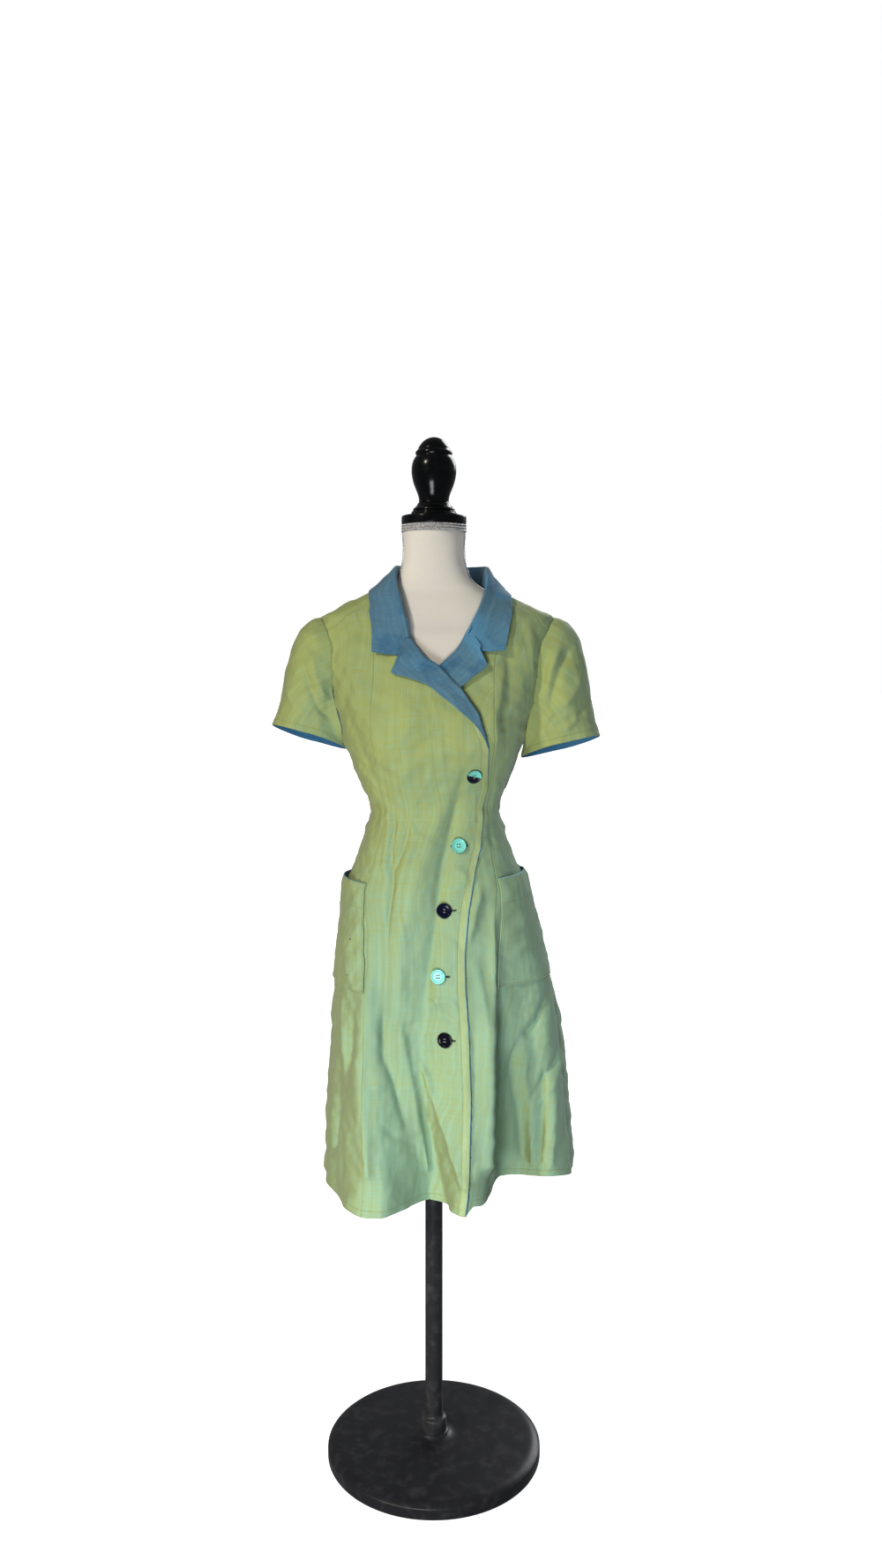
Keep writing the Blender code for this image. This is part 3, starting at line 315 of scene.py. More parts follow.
def outward(angle, height, folds=1.0):
    """Unit normals of the shell: its slope round crossed with its slope up."""
    along = shell(angle + 0.4, height, folds) - shell(angle - 0.4, height, folds)
    height = np.asarray(height)
    up = shell(angle, height + 0.0006, folds) - shell(angle, height - 0.0006, folds)
    return unit(np.cross(along, up))


def ramp(x, low, high):
    """Soft step from 0 to 1: 3s^2 - 2s^3."""
    s = np.clip((x - low) / (high - low), 0, 1)
    return s * s * (3 - 2 * s)


jersey = Finish("ivory_jersey", (0.74, 0.69, 0.62), 0.92, Sheen_Weight=0.25, Sheen_Roughness=0.6)
place = jersey.place()
x, y, z = jersey.split(place)
rib = jersey.cloud(jersey.spot(x * 1400, y * 1400, z * 90), 1.0, 1.0)
row = jersey.cloud(jersey.spot(x * 120, y * 120, z * 1700), 1.0, 1.0)
pill = jersey.cloud(place, 260.0, 5.0, 0.7)
soil = jersey.cloud(place, 11.0, 3.0)
tone = jersey.mix(soil.step(0.35, 0.7), (0.64, 0.605, 0.565), (0.70, 0.645, 0.570))
tone = jersey.mix((rib * 0.5 + row * 0.5).step(0.35, 0.7) * 0.35, tone, (0.60, 0.565, 0.53))
jersey.set("Base Color", jersey.mix(pill.step(0.66, 0.74) * 0.35, tone, (0.50, 0.48, 0.46)))
jersey.relief(rib * 0.5 + row * 0.5 + pill * 0.3, 0.35, 0.0005)

NECK_RADIUS, NECK_TOP, WALL = 0.0497, 1.4915, 0.002
EASE = np.array([  # height, room between the torso and the inside of the cloth
    (0.800, 0.030), (0.845, 0.022), (0.890, 0.018), (0.950, 0.012), (1.035, 0.008), (1.120, 0.007),
    (1.225, 0.006), (1.290, 0.004), (1.325, 0.0036), (1.346, 0.0028), (1.358, 0.0016), (1.390, 0.0016),
    (1.420, 0.0006), (1.475, 0.0002)])
angle, height = np.meshgrid(np.linspace(-180, 180, 181)[:-1], np.linspace(0.800, 1.458, 168))
room = np.interp(height, EASE[:, 0], EASE[:, 1])
chest_top = ramp(height, 1.315, 1.335) * (1 - ramp(height, 1.384, 1.396)) * (1 - ramp(np.abs(angle), 70, 84))
room = room + 0.0022 * chest_top
skin = shell(angle, height, 0.0) - outward(angle, height, 0.0) * (WALL + room)[..., None]
skin[..., 0] -= np.interp(height, RINGS[:, 0], RINGS[:, 1]) * (1 - ramp(height, 1.045, 1.075))
a = np.radians(angle[0])
neck = np.stack([NECK_RADIUS * np.sin(a), -NECK_RADIUS * np.cos(a), 0 * a], -1)
top_heights, top_shares = np.array([1.472, 1.480, 1.4905, NECK_TOP]), np.array([1, 1, 1, 0.98])
top = top_heights[:, None, None] * (0, 0, 1) + neck * top_shares[:, None, None]
low = skin[0] * (0.93, 0.93, 1) - (0, 0, 0.008)
under = [low * (k, k, 1) for k in (0.985, 0.7, 0.35, 0.02)]
low_edge = (skin[0] * 0.35 + low * 0.65) * (1.008, 1.008, 1)
skin = np.concatenate([np.array(under[::-1]), low[None], low_edge[None], skin, top,
                       (top[-1] * (0.5, 0.5, 1))[None], (top[-1] * (0.02, 0.02, 1))[None]])
index = np.arange(skin.size // 3).reshape(skin.shape[:2])
torso = piece("jersey_torso", skin.reshape(-1, 3), quads(shut(index)), [jersey])
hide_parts("form")


# Neck cap and knob
# Turned hardwood under black gloss lacquer: a disc on the neck with stepped rings, and a knob
# with one bead near its top, screwed on through the disc.

ebony = lacquer("black_gloss_wood", (0.0015, 0.0016, 0.002), 0.14)
CAP = [(0.0500, 1.4918), (0.0515, 1.4919), (0.0522, 1.4935), (0.0523, 1.4985), (0.0521, 1.5030),
       (0.0512, 1.5048), (0.0490, 1.5055), (0.0395, 1.5060), (0.0372, 1.5068), (0.0374, 1.5085),
       (0.0366, 1.5096), (0.0358, 1.5104), (0.0358, 1.5118), (0.0345, 1.5126), (0.0330, 1.5132),
       (0.0338, 1.5148), (0.0334, 1.5165), (0.0318, 1.5178), (0.0296, 1.5196), (0.0272, 1.5228),
       (0.0258, 1.5255)]
cap = turned("turned_cap", CAP, ebony, around=120, steps=4)
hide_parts("neck_cap")
KNOB = [(0.0245, 1.5260), (0.0241, 1.5290), (0.0245, 1.5340), (0.0262, 1.5405), (0.0300, 1.5500),
        (0.0332, 1.5590), (0.0352, 1.5680), (0.0361, 1.5760), (0.0358, 1.5840), (0.0342, 1.5920),
        (0.0312, 1.5985), (0.0290, 1.6012), (0.0284, 1.6026), (0.0292, 1.6040), (0.0298, 1.6060),
        (0.0295, 1.6082), (0.0278, 1.6102), (0.0252, 1.6135), (0.0250, 1.6150), (0.0215, 1.6205),
        (0.0165, 1.6260), (0.0105, 1.6298), (0.0045, 1.6318), (0.0010, 1.6320)]
knob = turned("turned_knob", KNOB, ebony, around=120, steps=5)
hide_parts("finial")


# Beaded braid
# Three rows of glass seed beads on a silver gimp round the top of the neck, and a double row
# down each side of the neck, sewn over the joins of the jersey.

def fine_path(points, spacing):
    """Even points along a smooth line through a few points."""
    points = np.asarray(points, float)
    row = np.arange(len(points))
    fine = np.linspace(0, row[-1], 40 * len(points))
    line = np.stack([smooth_line(fine, row, points[:, k]) for k in range(points.shape[1])], -1)
    gone = np.r_[0, np.cumsum(np.linalg.norm(np.diff(line[:, :3], axis=0), axis=1))]
    want = np.linspace(0, gone[-1], max(2, int(round(gone[-1] / spacing)) + 1))
    return np.stack([np.interp(want, gone, line[:, k]) for k in range(points.shape[1])], -1)


def beads(name, centres, radius, finish):
    """One ball of 6 by 4 faces at each centre: c + r (cos p cos t, cos p sin t, sin p)."""
    t = np.linspace(0, 2 * np.pi, 6, endpoint=False)
    p = np.radians([-88, -45, 0, 45, 88])[:, None]
    ball = np.stack([np.cos(p) * np.cos(t), np.cos(p) * np.sin(t), np.sin(p) + 0 * t], -1) * radius
    faces = quads(shut(np.arange(30).reshape(5, 6)))
    points = centres[:, None] + ball.reshape(1, 30, 3)
    faces = faces[None] + 30 * np.arange(len(centres))[:, None, None]
    return piece(name, points.reshape(-1, 3), faces.reshape(-1, 4), [finish])


gimp = Finish("silver_gimp", (0.60, 0.58, 0.58), 0.5, Metallic=0.25)
glint = gimp.cloud(gimp.place(), 900.0, 2.0)
gimp.set("Base Color", gimp.mix(glint.step(0.4, 0.62), (0.16, 0.155, 0.16), (0.50, 0.48, 0.47)))
gimp.relief(glint, 0.5, 0.0004)
glass = Finish("pearl_beads", (0.80, 0.78, 0.76), 0.22, Coat_Weight=0.6)
blink = glass.cloud(glass.place(), 420.0, 1.0)
glass.set("Base Color", glass.mix(blink.step(0.42, 0.58), (0.30, 0.29, 0.31), (0.72, 0.70, 0.68)))
a = np.linspace(0, 2 * np.pi, 160, endpoint=False)
BRAID = [(NECK_RADIUS + 0.0003, 1.4790), (NECK_RADIUS + 0.0016, 1.4796), (NECK_RADIUS + 0.0022, 1.4815),
         (NECK_RADIUS + 0.0014, 1.4838), (NECK_RADIUS + 0.0022, 1.4862), (NECK_RADIUS + 0.0016, 1.4884),
         (NECK_RADIUS + 0.0022, 1.4904), (NECK_RADIUS + 0.0004, 1.4912), (NECK_RADIUS + 0.0002, 1.4850)]
section = np.array([*BRAID, BRAID[0]])
points = np.stack([section[:-1, :1] * np.cos(a), section[:-1, :1] * np.sin(a), section[:-1, 1:] + 0 * a], -1)
index = shut(np.arange(points.size // 3).reshape(points.shape[:2]))
index = np.r_[index, index[:1]]
braid = piece("braid_gimp", points.reshape(-1, 3), quads(index), [gimp])
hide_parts("neck_braid")
COUNT, BEAD = 150, 0.00105
a = np.linspace(0, 2 * np.pi, COUNT, endpoint=False) + np.arange(3)[:, None] * np.pi / COUNT
heights = np.array([1.4806, 1.4850, 1.4894])[:, None] + 0 * a
rounds = np.stack([(NECK_RADIUS + 0.0022) * np.cos(a), (NECK_RADIUS + 0.0022) * np.sin(a), heights], -1)
neck_beads = beads("neck_beads", rounds.reshape(-1, 3), BEAD, glass)
SIDE_BRAIDS = {  # angle and height, from the top of the neck down
    "braid_right": [(-84, 1.478), (-83, 1.455), (-82, 1.430), (-80, 1.412), (-77, 1.402), (-73, 1.396)],
    "braid_left": [(82, 1.478), (81, 1.455), (80, 1.430), (77, 1.412), (72, 1.400), (66, 1.390), (59, 1.380)]}
for name, line in SIDE_BRAIDS.items():
    line = np.array(line)
    along = fine_path(np.c_[shell(line[:, 0], line[:, 1], 0.0), line], 0.0021)
    out = outward(along[:, 3], along[:, 4], 0.0)
    room = np.interp(along[:, 4], EASE[:, 0], EASE[:, 1])[:, None] + WALL
    on = along[:, :3] - out * (room - 0.0012)
    aside = np.cross(out, (0, 0, 1)) * 0.0011
    item = beads(name, np.vstack([on - aside, on + aside]), BEAD, glass)


# Back and side panels of the dress
# Two-tone linen, yellow-green warp and teal weft outside, blue inside, joined by plain seams:
# one back up to the yoke and a panel from each princess seam to the side seam.

CLOTH = 0.0013
LEVELS = np.unique(np.r_[np.linspace(0.450, 1.143, 176), 0.4512, 0.4588])
SHARES = np.r_[np.linspace(0, 1, 50)[1:-1], 0.992, 1.0]
PRINCESS_RIGHT = np.array([
    # height, angle from the front
    (0.450, -46.2), (0.546, -44.4), (0.671, -42.5), (0.774, -40.3), (0.852, -41.0), (0.926, -45.5),
    (0.970, -45.5), (1.010, -45.2), (1.045, -44.5), (1.080, -42.3), (1.137, -36.9), (1.205, -31.9),
    (1.279, -28.0), (1.330, -30.0), (1.354, -36.0), (1.3655, -42.4)])
PRINCESS_LEFT = np.array([
    (0.450, 23.6), (0.560, 21.9), (0.669, 22.4), (0.773, 26.0), (0.866, 30.7), (0.941, 40.1),
    (0.997, 46.0), (1.044, 48.3), (1.109, 39.3), (1.205, 30.8), (1.279, 28.7), (1.330, 31.0),
    (1.356, 40.0), (1.369, 57.0)])
YOKE_RIGHT = np.array([  # angle, height, from the neck to the armhole; the third row is the princess seam
    (-38.0, 1.388), (-40.4, 1.3760), (-42.4, 1.3655), (-44.8, 1.3500), (-48.0, 1.339), (-55.0, 1.3282),
    (-63.5, 1.320)])
YOKE_LEFT = np.array([(55.0, 1.3855), (56.5, 1.3770), (57.0, 1.3690), (54.0, 1.3500), (55.8, 1.336),
                      (60.0, 1.327), (66.0, 1.320)])
ARM_FRONT_RIGHT = np.array([  # angle, height, from the armpit to the yoke
    (-90, 1.143), (-80, 1.147), (-73, 1.156), (-70, 1.170), (-69.5, 1.190), (-68.5, 1.215), (-61, 1.257),
    (-58.5, 1.294), (-63.5, 1.320)])
ARM_FRONT_LEFT = np.array([(90, 1.143), (80, 1.147), (74, 1.156), (71, 1.170), (69, 1.188), (67, 1.216),
                           (63.5, 1.257), (60, 1.292), (66, 1.320)])
ARM_TOP = np.array([(64, 1.320), (70, 1.331), (79, 1.339), (90, 1.342), (103, 1.339), (113, 1.325),
                    (118, 1.300), (118, 1.265)])
ARM_BACK = np.array([(90, 1.143), (98, 1.147), (106, 1.158), (111, 1.178), (114, 1.205), (117, 1.235),
                     (118, 1.265)])
FRONT_FOLDS = [
    # points (x, z) as seen from the front at eye height, width and rise of each fold, in millimetres
    ([(26, 1050), (-6, 986), (-28, 915), (-48, 844), (-56, 759), (-50, 674)], 20.0, 2.6),
    ([(51, 1114), (32, 1022), (14, 937), (4, 854), (-10, 756), (-24, 653)], 13.0, -3.0),
    ([(-64, 1046), (-63, 1005), (-68, 957), (-65, 911), (-72, 859), (-74, 795)], 5.1, -1.7),
    ([(-72, 1050), (-72, 1001), (-78, 951), (-77, 901)], 6.4, 1.3),
    ([(-55, 1040), (-41, 998), (-50, 964), (-64, 927)], 5.1, -1.6),
    ([(-44, 1022), (-31, 989), (-40, 951), (-55, 915)], 7.1, 1.4),
    ([(-151, 1219), (-131, 1168), (-112, 1117), (-91, 1080)], 9.9, -1.8),
    ([(-128, 1256), (-105, 1200), (-82, 1128), (-57, 1080)], 15.6, 1.8),
    ([(-88, 1342), (-74, 1292), (-57, 1235)], 11.4, -1.0),
    ([(-128, 1325), (-134, 1278), (-125, 1214)], 11.4, 1.3),
    ([(-37, 1103), (-20, 1134), (11, 1146), (44, 1140)], 12.8, -1.4),
    ([(-57, 1136), (-31, 1174), (9, 1191), (45, 1182)], 14.2, 1.2),
    ([(-81, 716), (-80, 645), (-64, 600), (-43, 503)], 9.9, -3.0),
    ([(-105, 787), (-107, 702), (-114, 603), (-105, 446)], 15.6, 3.2),
    ([(-125, 719), (-148, 589), (-162, 489)], 8.5, -3.2),
    ([(-57, 702), (-48, 638), (-31, 560), (-9, 461)], 12.8, 2.2),
    ([(-23, 631), (-7, 600), (21, 529), (53, 425)], 8.5, 2.4),
    ([(-26, 589), (-11, 525), (7, 446), (20, 395)], 11.4, -2.8),
    ([(-41, 618), (-16, 616), (0, 600)], 4.5, 1.0),
    ([(-75, 678), (-48, 684), (-23, 688)], 4.0, -0.8),
    ([(-88, 525), (-57, 503), (-31, 495)], 5.7, -0.9),
    ([(-6, 725), (23, 725), (45, 704)], 5.7, 1.3),
    ([(-11, 709), (18, 702), (40, 685)], 7.1, -1.2),
    ([(11, 834), (33, 827), (48, 805)], 5.7, -0.9),
    ([(28, 937), (45, 930), (57, 910)], 5.7, 0.8),
    ([(78, 915), (65, 859), (55, 813)], 7.1, 2.0),
    ([(66, 800), (78, 731), (84, 660), (86, 581), (88, 489), (88, 450)], 9.0, 1.8),
    ([(63, 688), (66, 631), (63, 546)], 6.0, -0.8),
    ([(97, 901), (94, 773), (90, 674), (85, 560), (84, 458)], 8.5, 3.4),
    ([(111, 745), (107, 660), (99, 560), (97, 464)], 9.9, -2.6),
    ([(145, 681), (126, 614), (139, 539), (142, 475)], 8.5, -2.4),
    ([(153, 667), (145, 610), (159, 543), (162, 468)], 11.4, 2.2),
    ([(190, 748), (165, 688), (142, 665)], 7.1, -2.0),
    ([(202, 681), (197, 631), (172, 591), (145, 552)], 4.5, -1.4),
    ([(210, 660), (199, 608), (182, 577), (158, 543)], 5.7, 1.2),
    ([(178, 624), (175, 560), (169, 468)], 8.5, -2.4),
    ([(193, 603), (192, 543), (189, 464)], 11.4, 2.0),
    ([(118, 1278), (111, 1228), (99, 1157), (97, 1100)], 12.8, 2.4),
    ([(122, 1310), (120, 1250), (116, 1200), (110, 1150)], 15.0, -2.6),
    ([(149, 1342), (158, 1292), (159, 1235)], 8.5, 1.4),
    ([(105, 1086), (97, 1050), (91, 1008)], 7.1, 1.0),
    ([(-105, 1050), (-91, 1026), (-97, 994)], 7.1, -1.2),
    ([(105, 1022), (91, 1001), (99, 965)], 7.1, -1.2),
]
BACK_FOLDS = [
    # points (x, z) as seen from behind
    ([(-62, 1120), (-70, 1060), (-66, 1010)], 9, -1.6), ([(58, 1110), (66, 1060), (60, 1005)], 10, -1.5),
    ([(-20, 1050), (-4, 1028), (16, 1034)], 8, -1.3), ([(-40, 1020), (-10, 1004), (30, 1010)], 8, 1.4),
    ([(-78, 1040), (-60, 1022), (-36, 1026)], 7, -1.3), ([(78, 1042), (58, 1020), (38, 1022)], 7, 1.2),
    ([(-30, 940), (-40, 820), (-52, 640), (-60, 452)], 20, 3.2),
    ([(-8, 900), (-6, 760), (-14, 600), (-10, 452)], 17, -3.4),
    ([(40, 930), (38, 800), (44, 640), (54, 452)], 19, 3.2),
    ([(84, 900), (92, 760), (100, 600), (104, 452)], 16, -3.0),
    ([(-92, 900), (-104, 740), (-106, 580), (-112, 452)], 15, -3.0),
    ([(122, 860), (136, 700), (150, 560)], 14, 2.6),
    ([(-128, 850), (-140, 690), (-150, 520)], 12, 2.4), ([(-60, 700), (-30, 690), (-4, 700)], 5, -0.9),
    ([(50, 610), (80, 625), (112, 610)], 5, -0.9), ([(-96, 1240), (-70, 1215), (-40, 1210)], 14, -1.4),
    ([(98, 1242), (66, 1212), (34, 1208)], 14, -1.4), ([(-110, 1180), (-84, 1150), (-66, 1110)], 11, 1.5),
    ([(112, 1182), (88, 1150), (72, 1112)], 11, 1.5), ([(-30, 1150), (-26, 1090), (-30, 1040)], 9, 0.9),
    ([(24, 1140), (22, 1090), (28, 1042)], 9, -0.9)]
SIDE_FOLDS = [
    # points (y, z) as seen from either side
    ([(-34, 1132), (-16, 1100), (-6, 1060)], 8, -1.5), ([(26, 1128), (12, 1096), (10, 1052)], 9, 1.4),
    ([(-40, 1046), (-10, 1030), (24, 1040)], 7, -1.4), ([(-30, 1018), (4, 1004), (40, 1016)], 7, 1.2),
    ([(-20, 760), (-26, 640), (-22, 470)], 12, -2.6), ([(14, 760), (18, 620), (10, 456)], 13, 2.8),
    ([(52, 770), (58, 630), (64, 456)], 14, -2.8), ([(92, 800), (100, 640), (108, 456)], 13, 2.4),
    ([(-70, 780), (-84, 650), (-96, 480)], 12, 2.0), ([(30, 905), (38, 860), (34, 800)], 9, -1.2),
    ([(-6, 700), (18, 680), (44, 690)], 5, -0.8)]


def folds_in(place, table):
    """Sum of rise exp(-1.2 (sqrt(d^2/w^2 + 0.03) - 0.17)^1.35), d the distance to a fold's smooth line.

    A fold is slimmer and fades out toward its ends, but for one that runs down into the hem.
    """
    total = np.zeros(len(place))
    for points, width, rise in table:
        points = np.array(points) / 1000.0
        t = np.linspace(0, len(points) - 1, 25)
        line = np.stack([smooth_line(t, np.arange(len(points)), points[:, k]) for k in (0, 1)], -1)
        width, rise = width / 1000.0, rise / 1000.0
        near = ((place > line.min(0) - 3 * width) & (place < line.max(0) + 3 * width)).all(1)
        start, run = line[:-1], np.diff(line, axis=0)
        to = place[near][:, None] - start
        share = np.clip((to * run).sum(-1) / (run**2).sum(-1), 0, 1)
        gap = np.linalg.norm(to - share[..., None] * run, axis=-1)
        best = gap.argmin(1)
        rows = np.arange(len(best))
        along = (best + share[rows, best]) / len(run)
        slim = width * (0.62 + 0.38 * np.sin(np.pi * np.clip(along, 0, 1)))
        fade = ramp(along, -0.02, 0.25) * ramp(1 - along, -0.02, 0.25)
        open_end = points[-1, 1] < 0.50
        fade = np.where((along > 0.5) & open_end, 1.0, fade)
        crest = np.sqrt((gap[rows, best] / slim) ** 2 + 0.03) - 0.17
        total[near] += rise * fade * np.exp(-1.2 * crest**1.35)
    return total


rng = np.random.default_rng(11)
WAVES = [(unit(rng.normal(size=3)) / size, unit(rng.normal(size=3)) / (size * 1.7),
          rng.uniform(0, 6.28, 2), size) for size in np.geomspace(0.030, 0.120, 16)]
CRUMPLE = 0.0085
EYE_BACK, EYE_HEIGHT = 2.1, 1.299
FRONT_RISE, SKIRT_RISE, BACK_RISE, SIDE_RISE = 2.3, 0.8, 2.6, 2.2


def crumple(place):
    """Sum of bent ridged waves: 1 - |sin(2 pi p.k + 1.6 sin(2 pi p.m))|, taller where longer."""
    total = 0
    for k, m, (p, q), size in WAVES:
        wave = np.sin(2 * np.pi * (place @ k) + p + 1.6 * np.sin(2 * np.pi * (place @ m) + q))
        total = total + size * (1 - np.sqrt(wave**2 + 0.02) - 0.33)
    return total * CRUMPLE


def seen(points):
    """Where points lie in the upright plane through the middle, as the camera sees them from in front."""
    scale = EYE_BACK / (EYE_BACK + points[:, 1])
    return np.stack([points[:, 0] * scale, EYE_HEIGHT + (points[:, 2] - EYE_HEIGHT) * scale], -1)


def dress(angle, height, lift=0.0):
    """The cloth's outer face: the shell moved out by lift, its folds times their rises and its crumples."""
    base, out = shell(angle, height), outward(angle, height)
    flat, n = base.reshape(-1, 3), out.reshape(-1, 3)
    more = FRONT_RISE + SKIRT_RISE * (1 - ramp(flat[:, 2], 0.92, 1.02))
    move = folds_in(seen(flat), FRONT_FOLDS) * more * ramp(-n[:, 1], 0.02, 0.45)
    move += folds_in(flat[:, [0, 2]], BACK_FOLDS) * BACK_RISE * ramp(n[:, 1], 0.10, 0.55)
    move += folds_in(flat[:, [1, 2]], SIDE_FOLDS) * SIDE_RISE * ramp(np.abs(n[:, 0]), 0.70, 0.92)
    move += crumple(flat)
    return base + out * (np.asarray(lift) + move.reshape(angle.shape))[..., None], out


def at(line, height):
    """Angle of a seam at a height."""
    return smooth_line(height, line[:, 0], line[:, 1])


def spread(line, shares):
    """Points of angle and height at shares of the length of a line on the shell."""
    row = np.arange(len(line))
    fine = np.linspace(0, row[-1], 400)
    path = np.stack([smooth_line(fine, row, line[:, 0]), smooth_line(fine, row, line[:, 1])], -1)
    gone = np.r_[0, np.cumsum(np.linalg.norm(np.diff(shell(path[:, 0], path[:, 1]), axis=0), axis=1))]
    want = np.asarray(shares) * gone[-1]
    return np.stack([np.interp(want, gone, path[:, 0]), np.interp(want, gone, path[:, 1])], -1)


def seam(line):
    """Points of a seam from the hem to its top."""
    heights = np.r_[LEVELS, LEVELS[-1] + SHARES * (line[-1, 0] - LEVELS[-1])]
    return np.stack([at(line, heights), heights], -1)


def armhole(line, side):
    """Points of a side seam and then of the armhole above it."""
    low = np.stack([np.full(len(LEVELS), side * 90.0), LEVELS], -1)
    return np.vstack([low, spread(line, SHARES)])


def columns(count):
    """Even shares from 0 to 1, with one more close to each end."""
    edge = 0.28 / (count - 1)
    return np.unique(np.r_[np.linspace(0, 1, count), edge, 1 - edge])


def patch(left, right, shares, top=None):
    """Angle and height between two seams, left (1 - u) + right u, the upper part drawn to the line top."""
    grid = left[:, None] * (1 - shares[None, :, None]) + right[:, None] * shares[None, :, None]
    if top is not None:
        drawn = np.interp(SHARES, [0.39, 0.51, 0.64, 0.77, 0.89, 1], [0, 0.05, 0.2, 0.45, 0.75, 1])
        weight = np.r_[0 * LEVELS, drawn]
        grid = grid + weight[:, None, None] * (top - grid[-1])[None]
    return grid


def beyond(edge, inside, thick):
    """An edge moved on by 0.45 of the thickness, away from the row inside it."""
    return edge + unit(edge - inside) * thick * 0.45


def padded_grid(outer, inner, ring, thick):
    """Both faces of a wall with a shared rim half way between them, pushed out to round the edge."""
    middle = (outer + inner) / 2
    low, high = beyond(middle[0], middle[1], thick), beyond(middle[-1], middle[-2], thick)
    left = np.r_[low[:1], beyond(middle[:, 0], middle[:, 1], thick), high[:1]]
    right = np.r_[low[-1:], beyond(middle[:, -1], middle[:, -2], thick), high[-1:]]
    faces = [np.concatenate([low[None], layer, high[None]]) for layer in (outer, inner)]
    if ring:
        return faces
    return [np.concatenate([left[:, None], whole, right[:, None]], 1) for whole in faces]


def gone_along(points, axis):
    """The way along a grid from its first row or column: the running sum of its steps."""
    step = np.cumsum(np.linalg.norm(np.diff(points, axis=axis), axis=-1), axis)
    return np.pad(step, ((1, 0), (0, 0)) if axis == 0 else ((0, 0), (1, 0)))


def wall(name, outer, out, finish, thick=CLOTH, ring=False, shows=(), width=0.0):
    """A cloth wall: the outer grid, the same grid one thickness in along its normals, a rounded rim.

    Its back is blue. At an edge named in shows the blue turning stands out by width, in a brighter blue that
    is painted light.
    """
    around = np.roll(outer, -1, 1) - np.roll(outer, 1, 1) if ring else np.gradient(outer, axis=1)
    facing = np.cross(around, np.gradient(outer, axis=0))
    flip = (facing * out).sum() < 0
    normal = unit(-facing if flip else facing)
    layers = padded_grid(outer, outer - normal * thick, ring, thick)
    for layer in layers:
        if "right" in shows:
            layer[:, -1] += unit(layer[:, -1] - layer[:, -2]) * width
        if "high" in shows:
            layer[-1] += unit(layer[-1] - layer[-2]) * width
    rows, cols = layers[0].shape[:2]
    pad = ((1, 1), (0, 0) if ring else (1, 1), (0, 0))
    across, up = gone_along(outer, 1), gone_along(outer, 0)
    cut = np.stack([across, up], -1)
    far = np.stack([across[:, -1:] - across, up[-1:] - up], -1)
    index = np.arange(rows * cols).reshape(rows, cols)
    other = index + rows * cols
    other[0], other[-1] = index[0], index[-1]
    if ring:
        index, other = shut(index), shut(other)
    else:
        other[:, 0], other[:, -1] = index[:, 0], index[:, -1]
    front, back = quads(index), quads(other)
    front, back = (front[:, ::-1], back) if flip else (front, back[:, ::-1])
    points = np.concatenate([layer.reshape(-1, 3) for layer in layers])
    used = np.unique(np.r_[front.ravel(), back.ravel()])
    number = np.zeros(len(points), int)
    number[used] = np.arange(len(used))
    outside = np.zeros((rows - 1, cols if ring else cols - 1), int)
    if "right" in shows:
        outside[:, -1] = 2
    if "high" in shows:
        outside[-1] = 2
    which = np.r_[outside.ravel(), np.ones(len(back), int)]
    # The UV map turn carries the outward normal's x and y, which the linen uses to paint light and shade by
    # facing.
    maps = {label: np.tile(np.pad(values, pad, mode="edge").reshape(-1, 2), (2, 1))[used]
            for label, values in (("cut", cut), ("far", far), ("turn", normal[..., :2]))}
    # Faces along a shown edge take the brighter blue of the turnings: painted light.
    finishes = [finish, blue_inside, lit_blue_edge] if shows else [finish, blue_inside]
    return piece(name, points[used], number[np.r_[front, back]], finishes, which, maps)


